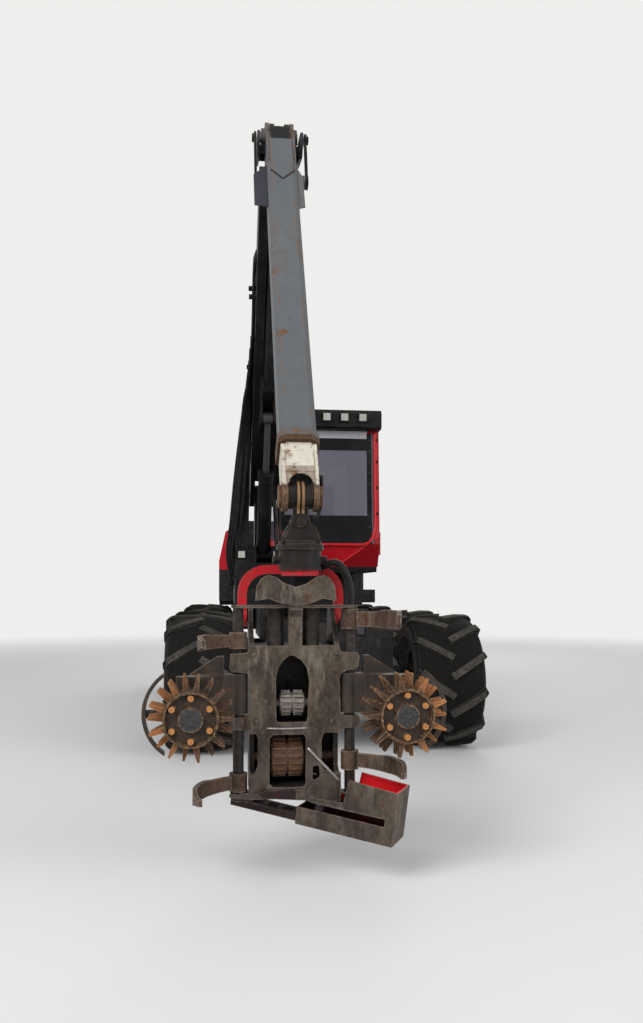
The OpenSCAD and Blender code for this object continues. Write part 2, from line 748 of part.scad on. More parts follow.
// A cylinder's barrel with its eye at p, pointing to q; the eye of the rod lies at q
module barrel(x, p, q, len, d, eye_d, eye_w) {
    translate([x, p[0], p[1]])
        rotate([angle_of(p, q), 0, 0])
            rotate([-90, 0, 0]) {
                difference() {
                    union() {
                        translate([0, 0, eye_d * 0.42])
                            cylinder(d = d, h = len - eye_d * 0.42, $fn = 48);
                        translate([0, 0, len - 70])
                            cylinder(d = d + 14, h = 70, $fn = 48);
                        translate([-eye_w / 2, 0, 0])
                            rotate([0, 90, 0])
                                cylinder(d = eye_d, h = eye_w, $fn = 48);
                    }
                    translate([0, 0, eye_d * 0.7])
                        cylinder(d = rod_d + 6, h = len, $fn = 48);
                    translate([-eye_w, 0, 0])
                        rotate([0, 90, 0])
                            cylinder(d = 50 + 2 * gap, h = 2 * eye_w, $fn = 48);
                }
            }
}

module rod(x, p, q, start, eye_d, eye_w) {
    reach = norm(q - p);
    translate([x, p[0], p[1]])
        rotate([angle_of(p, q), 0, 0])
            rotate([-90, 0, 0])
                difference() {
                    union() {
                        translate([0, 0, start])
                            cylinder(d = rod_d, h = reach - start - eye_d * 0.4, $fn = 48);
                        translate([0, 0, start])
                            cylinder(d = rod_d + 5, h = 60, $fn = 48);
                        translate([-eye_w / 2, 0, reach])
                            rotate([0, 90, 0])
                                cylinder(d = eye_d, h = eye_w, $fn = 48);
                    }
                    translate([-eye_w, 0, reach])
                        rotate([0, 90, 0])
                            cylinder(d = 46, h = 2 * eye_w, $fn = 48);
                }
}

module lift_barrel() {
    color([0.1, 0.1, 0.1])
        barrel(crane_x, lift_foot, lift_h, 985, barrel_d + 30, 130, lift_eye_w);
}

module lift_rod() {
    color([0.75, 0.75, 0.78])
        rod(crane_x, lift_foot, lift_h, 560, 110, 90);
}

module stick_barrel() {
    color([0.1, 0.1, 0.1])
        barrel(crane_x, stick_e, rocker_k, 1560, barrel_d - 20, 92, 94);
}

module stick_rod() {
    color([0.75, 0.75, 0.78])
        rod(crane_x, stick_e, rocker_k, 1200, 90, 60);
}

rocker_x = 163;
link_x = 190;

// Two bracket plates that pass the push of the stick cylinder on to the link bars
module knuckle_rocker() {
    color([0.24, 0.24, 0.28])
        for (s = [-1, 1])
            slab(crane_x + s * rocker_x, 20)
                difference() {
                    hull() {
                        round2d(rocker_c, 150);
                        round2d(link_top, 110);
                        round2d(rocker_k, 120);
                    }
                    round2d(rocker_c, 70 + 2 * gap);
                }
    color([0.4, 0.4, 0.42])
        for (s = [-1, 1])
            cross_pin(crane_x + s * (rocker_x - 28), rocker_k, 60, 40);
}

// Thin link bars outside the bracket plates
module knuckle_link() {
    color([0.08, 0.08, 0.09])
        for (s = [-1, 1]) {
            slab(crane_x + s * link_x, 18)
                difference() {
                    union() {
                        bar2d(link_b, link_top, [[0, -28], [norm(link_top - link_b), -28],
                            [norm(link_top - link_b), 28], [0, 28]]);
                        round2d(link_b, 100);
                        round2d(link_top, 90);
                    }
                    round2d(link_b, 50 + 2 * gap);
                }
            cross_pin(crane_x + s * (link_x + 16), link_top, 60, 16);
        }
}

stick_c = 34;

// Section of the outer boom with cut corners, shrunk by t on each side
module boom_section(t) {
    w = stick_w / 2 - t;
    h = stick_h / 2 - t;
    c = stick_c - 0.586 * t;
    polygon([[-w + c, -h], [w - c, -h], [w, -h + c], [w, h - c], [w - c, h], [-w + c, h], [-w, h - c], [-w, -h + c]]);
}

module outer_boom() {
    w = stick_w;
    h = stick_h / 2;
    c = stick_c;
    color([0.42, 0.44, 0.46]) {
        // twin plates at the top pin
        for (s = [-1, 1])
            slab(crane_x + s * (w / 2 - 14), 28)
                difference() {
                    union() {
                        bar2d(top_p, tip_p, [[-70, -70], [200, -h + 10], [stick_s + 120, -h + c], [stick_s + 120, h - c],
                            [200, h - 10], [-70, 70]]);
                        round2d(top_p, 210);
                    }
                    round2d(top_p, pin_d);
                }
        // front plate between them
        slab(crane_x, w - 52)
            bar2d(top_p, tip_p, [[30, 104], [200, h - 12], [stick_s + 30, h - 12], [stick_s + 30, h - 1],
                [200, h - 1], [30, 118]]);
        cross_pin(crane_x, top_p, pin_d, w + 72);
        for (s = [-1, 1])
            cross_pin(crane_x + s * (w / 2 + 14), top_p, 130, 30);
        // the tube
        place_along(top_p, tip_p)
            difference() {
                translate([0, 0, stick_s])
                    linear_extrude(stick_l - stick_s)
                        boom_section(0);
                translate([0, 0, stick_s + 30])
                    linear_extrude(stick_l)
                        boom_section(stick_t);
            }
        // bosses of the link bars
        for (s = [-1, 1])
            cross_pin(crane_x + s * (w / 2 + 33), link_b, 100, 68);
        for (s = [-1, 1])
            cross_pin(crane_x + s * (w / 2 + 64), link_b, 50, 60);
    }
    // worn collar at the mouth
    color([0.4, 0.26, 0.16])
        place_along(top_p, tip_p)
            difference() {
                translate([0, 0, stick_l - 70])
                    linear_extrude(70)
                        boom_section(-14);
                translate([0, 0, stick_l - 80])
                    linear_extrude(100)
                        boom_section(stick_t + slide_gap - gap);
            }
}

// Local axes: Z along p to q, X across the machine
module place_along(p, q) {
    translate([crane_x, p[0], p[1]])
        rotate([angle_of(p, q), 0, 0])
            rotate([-90, 0, 0])
                children();
}

tip_cap_x = stick_w / 2 - stick_t - slide_gap + 12;

module extension() {
    inset = stick_t + slide_gap;
    w = stick_w - 2 * inset;
    h = stick_h - 2 * inset;
    fork_s = stick_l + fork_gap;
    box_end = fork_s + 60;
    color([0.85, 0.82, 0.74]) {
        place_along(top_p, tip_p)
            difference() {
                translate([0, 0, stick_s + 160])
                    linear_extrude(box_end - stick_s - 160)
                        boom_section(inset);
                translate([-w / 2 + 12, -h / 2 + 12, stick_s])
                    cube([w - 24, h - 24, box_end - stick_s - 60]);
            }
        // slide pads at the inner end
        place_along(top_p, tip_p)
            translate([0, 0, stick_s + 160])
                linear_extrude(90)
                    boom_section(stick_t + gap);
        // fork of the tip
        for (s = [-1, 1])
            slab(crane_x + s * (w / 2 - 2), 32)
                difference() {
                    union() {
                        bar2d(top_p, tip_p, [[fork_s, -h / 2 + 10], [stick_len - 90, -85], [stick_len, -80],
                            [stick_len, 80], [stick_len - 90, 95], [fork_s, h / 2 - 10]]);
                        round2d(tip_p, 170);
                    }
                    round2d(tip_p, 60 + 2 * gap);
                }
        for (s = [-1, 1])
            cross_pin(crane_x + s * (tip_cap_x + 11), tip_p, 130, 22);
        // cover over the fork's root
        slab(crane_x, w - 20)
            bar2d(top_p, tip_p, [[box_end - 20, h / 2 - 13], [stick_len - 100, h / 2 - 13],
                [stick_len - 100, h / 2 - 1], [box_end - 20, h / 2 - 1]]);
    }
    // guide wheel of the hoses in the fork
    color([0.5, 0.34, 0.2]) {
        cross_pin(crane_x, along(top_p, tip_p, stick_len - 170, 10), 110, 34);
        cross_pin(crane_x, along(top_p, tip_p, stick_len - 170, 10), 30, w - 20);
    }
}

swing_z = 1965;
drum_z0 = 1700;
drum_z1 = 1865;
tilt_p = [tip_y + 185, 1430];
front_y = tip_y - 130;
shaft_x = 312;
shaft_y = front_y + 40;
shaft_d = 60;

module tip_link() {
    color([0.09, 0.08, 0.08])
        difference() {
            union() {
                cross_pin(crane_x, tip_p, 140, 138);
                translate([crane_x - 45, tip_p[0] - 36, swing_z])
                    cube([90, 72, tip_z - swing_z]);
                translate([crane_x, tip_p[0] + 36, swing_z])
                    rotate([90, 0, 0])
                        cylinder(d = 120, h = 72, $fn = 48);
                cross_pin(crane_x, tip_p, 60, 2 * (tip_cap_x - gap));
            }
            translate([crane_x, tip_p[0] + 50, swing_z])
                rotate([90, 0, 0])
                    cylinder(d = 50 + 2 * gap, h = 100, $fn = 48);
        }
}

module rotator() {
    color([0.11, 0.09, 0.08])
        translate([crane_x, tip_y, 0]) {
            for (s = [-1, 1])
                translate([0, s * 54 + 15, 0])
                    rotate([90, 0, 0])
                        linear_extrude(30)
                            union() {
                                polygon([[-100, drum_z1 - 1], [100, drum_z1 - 1], [55, swing_z], [-55, swing_z]]);
                                translate([0, swing_z])
                                    circle(d = 110, $fn = 48);
                            }
            translate([0, 85, swing_z])
                rotate([90, 0, 0])
                    cylinder(d = 50, h = 170, $fn = 48);
            translate([0, 0, drum_z0 + gap])
                cylinder(d = rotator_d - 30, h = drum_z1 - drum_z0 - gap, $fn = 64);
            translate([0, 0, drum_z1 - 50])
                cylinder(d = rotator_d, h = 32, $fn = 64);
            for (s = [-1, 1])
                translate([s * (rotator_d / 2 - 20), 0, drum_z0 + 60])
                    rotate([0, s * 90, 0])
                        cylinder(d = 44, h = 40, $fn = 24);
        }
}

// An upright arch of half width w and rounding r, from its foot up to the height top
module arch2d(w, top, r, foot) {
    polygon(concat(
        [for (a = [0:7]) [w - r + r * cos(90 * a / 7), top - r + r * sin(90 * a / 7)]],
        [for (a = [0:7]) [-w + r - r * sin(90 * a / 7), top - r + r * cos(90 * a / 7)]],
        [[-w, foot], [w, foot]]));
}

// The red arch over the head's top, hung from the rotator
module yoke() {
    hw = yoke_w / 2;
    color([0.8, 0.05, 0.1]) {
        difference() {
            union() {
                translate([head_x, tilt_p[0] + 38, 0])
                    rotate([90, 0, 0])
                        linear_extrude(76)
                            difference() {
                                arch2d(hw, yoke_z, 165, tilt_p[1]);
                                arch2d(hw - yoke_t, yoke_z - yoke_t, 120, tilt_p[1] - 90);
                            }
                for (s = [-1, 1])
                    cross_pin(head_x + s * (hw - yoke_t / 2), tilt_p, 110, yoke_t);
            }
            cross_pin(head_x, tilt_p, shaft_d + 2 * gap, yoke_w + 10);
        }
        // seat plate of the rotator, and its two gussets
        translate([crane_x, tip_y, drum_z0 - 30])
            cylinder(d = rotator_d - 60, h = 30, $fn = 64);
        translate([crane_x - 95, tip_y, drum_z0 - 30])
            cube([190, 150, 30]);
    }
}

// Outline of the front plate, X and Z: wings over the shafts, slots and notches
module face_outline() {
    z1 = head_z + head_h;
    difference() {
        polygon([[-240, z1], [240, z1], [250, z1 - 14], [258, z1 - 36], [350, z1 - 40], [362, z1 - 62],
            [356, z1 - 118], [300, z1 - 138], [262, z1 - 152], [248, z1 - 190],
            [248, head_z + 470], [264, head_z + 442], [352, head_z + 440], [366, head_z + 420],
            [360, head_z + 378], [262, head_z + 364], [190, head_z + 360], [160, head_z + 342],
            [149, head_z + 310], [149, head_z + 170], [162, head_z + 142], [196, head_z + 124],
            [257, head_z + 120], [257, head_z + 2], [-20, head_z + 2], [-110, head_z - 18],
            [-250, head_z - 16], [-350, head_z - 8], [-364, head_z + 4], [-354, head_z + 18],
            [-257, head_z + 20], [-257, head_z + 90], [-222, head_z + 128], [-206, head_z + 165],
            [-204, head_z + 310], [-212, head_z + 345], [-236, head_z + 364], [-352, head_z + 368],
            [-366, head_z + 385], [-360, head_z + 432], [-262, head_z + 440], [-248, head_z + 470],
            [-248, z1 - 190], [-262, z1 - 152], [-352, z1 - 140], [-362, z1 - 120], [-356, z1 - 44],
            [-258, z1 - 36], [-250, z1 - 14]]);
        // upper slot with an arch
        polygon([[-96, head_z + 406], [62, head_z + 406], [70, head_z + 424], [80, head_z + 640], [66, head_z + 706],
            [38, head_z + 748], [-6, head_z + 776], [-28, head_z + 776], [-66, head_z + 748],
            [-94, head_z + 706], [-106, head_z + 640], [-104, head_z + 424]]);
        // lower slot
        polygon([[-118, head_z + 46], [40, head_z + 42], [60, head_z + 60], [62, head_z + 318], [46, head_z + 338],
            [-120, head_z + 338], [-140, head_z + 318], [-142, head_z + 66]]);
        // square hole beside it
        polygon([[98, head_z + 84], [132, head_z + 90], [140, head_z + 104], [136, head_z + 156], [124, head_z + 166],
            [98, head_z + 158]]);
    }
}

module head_frame() {
    hw = head_w / 2;
    z1 = head_z + head_h;
    y1 = front_y + head_d;
    color([0.42, 0.38, 0.33])
        translate([head_x, 0, 0]) {
            translate([0, front_y + plate_t, 0])
                rotate([90, 0, 0])
                    linear_extrude(plate_t)
                        face_outline();
            // side plates with the ears of the yoke
            for (s = [-1, 1])
                slab(s * (hw - plate_t / 2), plate_t)
                    polygon([[front_y + 1, head_z + 3], [y1 - 60, head_z], [y1, head_z + 80], [y1, z1 - 60],
                        [tilt_p[0] + 75, tilt_p[1] - 40], [tilt_p[0] + 50, tilt_p[1] + 60],
                        [tilt_p[0] - 60, tilt_p[1] + 60], [front_y + 1, z1 - 4], [front_y + 1, head_z + 372],
                        [front_y + 75, head_z + 345], [front_y + 75, head_z + 150], [front_y + 1, head_z + 118]]);
            for (z = [head_z + 20, head_z + 345, z1 - 30])
                translate([-hw + 1, front_y + 1, z])
                    cube([head_w - 2, head_d - 62, plate_t]);
            translate([-hw + 1, y1 - 80, head_z + 20])
                cube([head_w - 2, 20, head_h - 20]);
            // trunnions in the yoke's legs
            for (s = [-1, 1])
                cross_pin(s * (hw + 25), tilt_p, shaft_d, 70);
            // shafts of the knives and the feed arms, and their ears
            for (s = [-1, 1]) {
                translate([s * shaft_x, shaft_y, head_z - 30])
                    cylinder(d = shaft_d, h = 1078, $fn = 48);
                for (e = [[head_z + 2, s > 0 ? 8 : 16], [head_z + 372, 64], [head_z + 694, 92]])
                    translate([0, 0, e[0]])
                        linear_extrude(e[1])
                            difference() {
                                union() {
                                    polygon([[s * (hw - 2), front_y + 5], [s * (shaft_x + 5), front_y + 5],
                                        [s * (shaft_x + 5), shaft_y + 40], [s * (hw - 2), shaft_y + 60]]);
                                    translate([s * shaft_x, shaft_y])
                                        circle(d = 90, $fn = 48);
                                }
                            }
            }
            translate([0, 0, head_z + 1040])
                linear_extrude(16)
                    polygon([[-shaft_x - 40, shaft_y - 25], [-215, front_y - 40], [225, front_y - 40],
                        [shaft_x + 40, shaft_y - 25], [shaft_x + 40, shaft_y + 35], [-shaft_x - 40, shaft_y + 35]]);
            // centre post and the carrier of the top knife
            slab(2, 74)
                polygon([[front_y + 1, z1 - 40], [front_y - 10, z1 + 160], [front_y - 52, z1 + 200],
                    [front_y - 52, z1 + 300], [front_y - 30, z1 + 300], [front_y + 60, z1 + 200], [front_y + 80, z1 - 40]]);
            top_knife();
        }
    // housings left and right of the post
    color([0.12, 0.12, 0.12])
        translate([head_x, front_y + 75, head_z + head_h - 6])
            for (s = [-1, 1])
                translate([s * 99 - 4, 0, 0])
                    cylinder(d = 96, h = 215, $fn = 48);
}

module top_knife() {
    color([0.4, 0.3, 0.22])
        translate([0, front_y - 50, head_z + head_h])
            rotate([90, 0, 0])
                linear_extrude(knife_t)
                    polygon([[-222, 250], [-215, 330], [-190, 372], [-155, 392], [-110, 380], [-60, 345], [0, 325],
                        [60, 345], [110, 380], [155, 392], [190, 372], [215, 330], [222, 250], [150, 262],
                        [80, 235], [0, 225], [-80, 235], [-150, 262]]);
}

// A roller in one of the slots, with two rows of n ribs; r is its radius over the ribs
module head_roller(x, z, w, r, n) {
    color([0.45, 0.35, 0.27])
        translate([head_x + x - w / 2, front_y + r + 28, z])
            rotate([0, 90, 0]) {
                cylinder(r = r - 14, h = w, $fn = 48);
                for (i = [0:n - 1], k = [0, 1])
                    rotate([0, 0, i * 360 / n])
                        translate([0, 0, k * w / 2 + 10])
                            linear_extrude(w / 2 - 20)
                                polygon([[r - 20, -9], [r, -5], [r, 5], [r - 20, 9]]);
                translate([0, 0, w / 2 - x - head_w / 2 + plate_t + gap])
                    cylinder(d = 50, h = head_w - 2 * plate_t - 2 * gap, $fn = 48);
            }
}

module mirrored(s) {
    translate([head_x, 0, 0])
        scale([s, 1, 1])
            children();
}

module feed_arm(s) {
    z0 = roller_z - 25;
    yr = front_y - 115;
    color([0.3, 0.25, 0.2])
        mirrored(s)
            union() {
                translate([0, 0, z0])
                    linear_extrude(220)
                        difference() {
                            union() {
                                polygon([[shaft_x - 20, shaft_y - 40], [shaft_x + 30, shaft_y + 44],
                                    [roller_x, yr + 90], [roller_x + 85, yr + 60], [roller_x + 85, yr + 10],
                                    [roller_x - 85, yr + 10], [shaft_x + 80, shaft_y - 60]]);
                                translate([shaft_x, shaft_y])
                                    circle(d = 104, $fn = 48);
                            }
                            translate([shaft_x, shaft_y])
                                circle(d = shaft_d + 2 * gap, $fn = 48);
                        }
                // sloped gusset above the arm
                translate([0, shaft_y + 30, 0])
                    rotate([90, 0, 0])
                        linear_extrude(40)
                            polygon([[shaft_x + 78, z0 + 200], [shaft_x + 78, z0 + 318], [shaft_x + 112, z0 + 318],
                                [roller_x + 20, z0 + 218], [roller_x + 20, z0 + 200]]);
                translate([roller_x - 90, yr + 20, z0 + 190])
                    cube([110, 150, 28]);
                translate([roller_x, yr + 60, roller_z])
                    rotate([90, 90, 0]) {
                        cylinder(d = 190, h = 58, $fn = 48);
                        translate([0, 0, 20])
                            cylinder(d = 120, h = 100, $fn = 48);
                    }
            }
    // thin guard arc outside the roller
    color([0.45, 0.28, 0.15])
        mirrored(s)
            translate([roller_x, yr + 8, roller_z])
                rotate([90, 0, 0])
                    difference() {
                        linear_extrude(26)
                            difference() {
                                circle(r = roller_d / 2 + 42, $fn = 64);
                                circle(r = roller_d / 2 + 22, $fn = 64);
                                translate([-600, -400])
                                    square([620 + roller_d * 0.28, 800]);
                            }
                    }
    color([0.3, 0.25, 0.2])
        mirrored(s)
            translate([roller_x + 50, yr - 1, roller_z - 22])
                cube([roller_d / 2 - 15, 26, 44]);
}

module feed_roller(s) {
    core_r = roller_d / 2 - spike_h;
    rows = 4;
    color([0.62, 0.32, 0.14])
        mirrored(s)
            translate([roller_x, front_y - 122, roller_z])
                rotate([90, 0, 0]) {
                    difference() {
                        cylinder(r = core_r, h = roller_l, $fn = 64);
                        translate([0, 0, -1])
                            cylinder(d = 120 + 2 * gap, h = 62, $fn = 48);
                        translate([0, 0, roller_l - 30])
                            difference() {
                                cylinder(r = core_r - 10, h = 60, $fn = 64);
                                cylinder(r = 62, h = 60, $fn = 48);
                            }
                    }
                    for (r = [0:rows - 1], i = [0:spike_n - 1])
                        rotate([0, 0, (i + 0.5 * (r % 2)) * 360 / spike_n])
                            translate([core_r - 6, 0, 14 + r * (roller_l - 28) / rows])
                                spike((roller_l - 28) / rows - 10);
                    for (i = [0:5])
                        rotate([0, 0, i * 60 + 30])
                            translate([110, 0, roller_l - 31])
                                cylinder(d = 34, h = 26, $fn = 6);
                }
}

// One tapered spike, pointing along X
module spike(w) {
    linear_extrude(w)
        polygon([[0, -16], [spike_h * 0.6, -11], [spike_h + 6, -6], [spike_h + 6, 6], [spike_h * 0.6, 11], [0, 16]]);
}

// A curved knife: an arc about the trunk's middle, turned open about its shaft
module knife(s, z, h, open, sweep) {
    arc_r = 262;
    trunk = [0, front_y - 210];
    start = atan2(shaft_y - trunk[1], shaft_x - trunk[0]);
    r1 = norm([shaft_x, shaft_y] - trunk);
    hub_turn = asin(40 / r1);
    color([0.4, 0.29, 0.2])
        mirrored(s)
            translate([shaft_x, shaft_y, z])
                rotate([0, 0, open]) {
                    // the blade ends inside the hub's wall and narrows in a wave to its tip
                    intersection() {
                        translate([-shaft_x, trunk[1] - shaft_y, 0])
                            rotate([0, 0, start - sweep])
                                rotate_extrude(angle = sweep - hub_turn, $fn = 96)
                                    polygon([[r1 - knife_t / 2, h * 0.12], [r1 + knife_t / 2, 2],
                                        [r1 + knife_t / 2, h - 2], [r1 - knife_t / 2, h - 2]]);
                        slab(0, 1000)
                            polygon([[80, h * 0.16], [-130, h * 0.1], [-300, -5], [-420, h * 0.13], [-520, h * 0.4],
                                [-620, h * 0.55], [-620, h * 0.7], [-500, h * 0.83], [-400, h + 5], [-290, h + 5],
                                [-150, h * 0.88], [80, h * 0.84]]);
                    }
                    linear_extrude(h)
                        difference() {
                            circle(d = 100, $fn = 48);
                            circle(d = shaft_d + 2 * gap, $fn = 48);
                        }
                }
}

UPPER_OPEN = 22;
LOWER_OPEN = 26;
saw_yaw = -28;
saw_roll = 7.5;
saw_p = [150, front_y + 80, 395];

module at_saw() {
    translate([head_x + saw_p[0], saw_p[1], saw_p[2]])
        rotate([0, 0, saw_yaw])
            rotate([0, saw_roll, 0])
                children();
}

module saw_box() {
    color([0.75, 0.04, 0.07])
        at_saw()
            difference() {
                translate([0, 110, 0])
                    rotate([90, 0, 0])
                        linear_extrude(230)
                            polygon([[-90, -120], [475, -120], [475, 172], [192, 186], [176, 56], [-90, 42]]);
                translate([0, 98, 0])
                    rotate([90, 0, 0])
                        linear_extrude(206)
                            polygon([[-78, -108], [463, -108], [463, 400], [-78, 400]]);
                // slot of the bar through the front and the left end
                translate([-200, -200, -22])
                    cube([620, 200, 44]);
            }
    color([0.3, 0.25, 0.2]) {
        // mount under the frame
        translate([head_x - head_w / 2, front_y + 30, head_z - 20])
            cube([head_w, 150, 20 - gap]);
        // skirt in front of the frame's plate
        translate([head_x, front_y - gap, 0])
            rotate([90, 0, 0])
                linear_extrude(14)
                    polygon([[-232, head_z + 16], [-150, head_z + 36], [66, head_z + 34], [150, head_z + 118],
                        [255, head_z + 122], [255, head_z - 34], [60, head_z - 26], [-140, head_z - 12]]);
        // tie between the two, through the gap under the frame's plate
        translate([head_x + 90, front_y - 10, head_z - 19])
            cube([140, 60, 16]);
    }
    color([0.12, 0.05, 0.05])
        at_saw() {
            // guard ladder below the bar, towards the left
            for (y = [-118, -20])
                translate([-500, y, -104])
                    cube([420, 26, 40]);
            for (i = [0:4])
                translate([-500 + i * 92, -118, -104])
                    cube([26, 124, 40]);
            translate([-500, -118, -64.5])
                cube([26, 26, 120]);
        }
}

module saw_bar() {
    color([0.5, 0.5, 0.5])
        at_saw() {
            translate([0, 0, -8])
                linear_extrude(12)
                    hull() {
                        translate([-30, 0])
                            circle(r = 42, $fn = 32);
                        translate([402, 0])
                            circle(r = 34, $fn = 32);
                    }
            translate([0, 0, -108 + gap])
                cylinder(d = 60, h = 130 - gap, $fn = 48);
        }
}

module turned_wheel(name, s, y) {
    at_wheel(s, y)
        if (name == "tyre") tyre(); else rim();
}

for (w = WHEELS, side = SIDES) {
    turned_wheel("tyre", side[1], w[1]);
    turned_wheel("rim", side[1], w[1]);
}
front_frame();
bogie(front_bogie_y);  // front_bogie
rear_frame();
bogie(rear_bogie_y);  // rear_bogie
engine_block();
hood();
deck();
cab_floor();
cab_shell();
cab_roof();
glazing();
seat();
door();
door_glass();
crane_base();
main_boom();
lift_barrel();
lift_rod();
stick_barrel();
stick_rod();
knuckle_rocker();
knuckle_link();
outer_boom();
extension();
tip_link();
rotator();
yoke();
head_frame();
head_roller(-12, head_z + 502, 136, 72, 14);  // head_roller_u
head_roller(-38, head_z + 195, 176, 115, 18);  // head_roller_d
feed_arm(1);  // feed_arm_l
feed_arm(-1);  // feed_arm_r
feed_roller(1);  // feed_roller_l
feed_roller(-1);  // feed_roller_r
knife(1, head_z + 922, knife_h, UPPER_OPEN, 80);  // upper_knife_l
knife(-1, head_z + 815, knife_h - 22, UPPER_OPEN, 80);  // upper_knife_r
knife(1, head_z + 135, knife_h - 8, LOWER_OPEN, 88);  // lower_knife_l
knife(-1, head_z + 26, knife_h - 12, LOWER_OPEN, 88);  // lower_knife_r
saw_box();
saw_bar();
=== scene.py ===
"""The harvester's looks: materials for the CAD pieces, hoses, bolts and small trim, light and camera."""

import json
import math

import bpy
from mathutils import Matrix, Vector


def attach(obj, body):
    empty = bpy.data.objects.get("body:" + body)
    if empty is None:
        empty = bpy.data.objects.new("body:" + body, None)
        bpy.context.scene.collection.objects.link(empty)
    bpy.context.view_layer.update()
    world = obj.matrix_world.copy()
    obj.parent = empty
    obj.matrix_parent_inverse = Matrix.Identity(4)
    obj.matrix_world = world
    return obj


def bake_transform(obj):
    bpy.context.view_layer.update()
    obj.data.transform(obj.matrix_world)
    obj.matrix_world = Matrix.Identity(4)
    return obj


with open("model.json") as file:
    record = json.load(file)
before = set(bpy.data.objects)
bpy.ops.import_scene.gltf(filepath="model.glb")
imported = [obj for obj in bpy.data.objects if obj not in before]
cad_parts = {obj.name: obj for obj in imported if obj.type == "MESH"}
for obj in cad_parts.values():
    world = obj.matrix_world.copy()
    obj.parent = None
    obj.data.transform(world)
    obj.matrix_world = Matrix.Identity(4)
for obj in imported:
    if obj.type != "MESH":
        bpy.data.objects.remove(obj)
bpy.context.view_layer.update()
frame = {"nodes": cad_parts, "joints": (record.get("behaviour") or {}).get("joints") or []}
NODES = frame["nodes"]
# Where the hinges of the frame lie, in metres
PINS = {joint["name"]: joint["pos_m"] for joint in frame["joints"] if "pos_m" in joint}
X, Y, Z = (1, 0, 0), (0, 1, 0), (0, 0, 1)

# Crane, in metres: pins of its booms, half widths, and lengths along the outer boom from its upper pin
BOOM_BASE = Vector(PINS["boom_lift"])
BOOM_TOP = Vector(PINS["stick_fold"])
STICK_TIP = Vector(PINS["hanger_swing"])
STICK_LINE = (STICK_TIP - BOOM_TOP).normalized()
CRANE_X = PINS["boom_lift"][0]
BOOM_SIDE = 0.140
STICK_HALF = 0.109
STICK_FRONT = 0.125
STICK_END = 3.174
PIN_TUBE_HALF, PIN_TUBE_END = 0.0835, 0.200
FORK_TOP, FORK_HALF = 3.345, 0.082
TIP_BOSS_R = 0.088

# Felling head: its middle, front plate, side shafts, feed rollers and saw box. R stands for a radius.
HEAD_X = PINS["head_tilt"][0]
FRONT_Y = -5.125
PLATE_BACK = 0.0235
SHAFT_X, SHAFT_HALF = PINS["arm_close_l"][0] - HEAD_X, 0.034
ROLLER_X, ROLLER_Z = PINS["roller_spin_l"][0] - HEAD_X, PINS["roller_spin_l"][2]
DISC_R, BOLT_RING_R, BOLT_R, HUB_R = 0.150, 0.110, 0.019, 0.0615
BOLT_HEADS_Y = FRONT_Y - 0.335
SAW_PLACE = Vector(PINS["saw_swing"])
SAW_YAW, SAW_ROLL = math.radians(-28.0), math.radians(7.5)

# Wheels: their axles, and the radii at which the tone of a tyre changes
WHEEL_Z = PINS["wheel_spin_1l"][2]
WHEEL_Y = {row: PINS[f"wheel_spin_{row}l"][1] for row in "1234"}
LUG_R, GROOVE_R, SHOULDER_R, WALL_R = 0.648, 0.632, 0.56, 0.60

# Cab, deck and hood: walls, heights, and the crease of the cab's nose as a point and its outward direction
CAB_X0, CAB_X1 = -0.360, 0.800
CAB_Y = -0.175
NOSE_DEPTH = 0.22
SILL_Z, WALL_TOP_Z = 2.100, 3.400
CREASE_TOP = Vector((0.652, 0, 2.090))
CREASE_OUT = Vector((0.577, 0, -0.8166))
DECK_TOP = 1.582
HOOD_Y, HOOD_HALF = 2.330, 1.030
HOOD_SLOPE, HOOD_BORDER = 0.66, 0.125
HOOD_SKIRT_Z = 1.860


def frame_of(a, b):
    """A function of (distance along a-b, offset to its upper side, sideways) that gives a point."""
    u = (b - a).normalized()
    n = Vector((0, u.z, -u.y))

    def at(s, off=0.0, side=0.0):
        return a + u * s + n * off + Vector((side, 0, 0))
    return at


on_boom = frame_of(BOOM_BASE, BOOM_TOP)
on_stick = frame_of(BOOM_TOP, STICK_TIP)


def on_face(x, z, off=0.004):
    """A point that lies off in front of the head's plate: x from the head's middle, height z."""
    return Vector((HEAD_X + x, FRONT_Y - off, z))


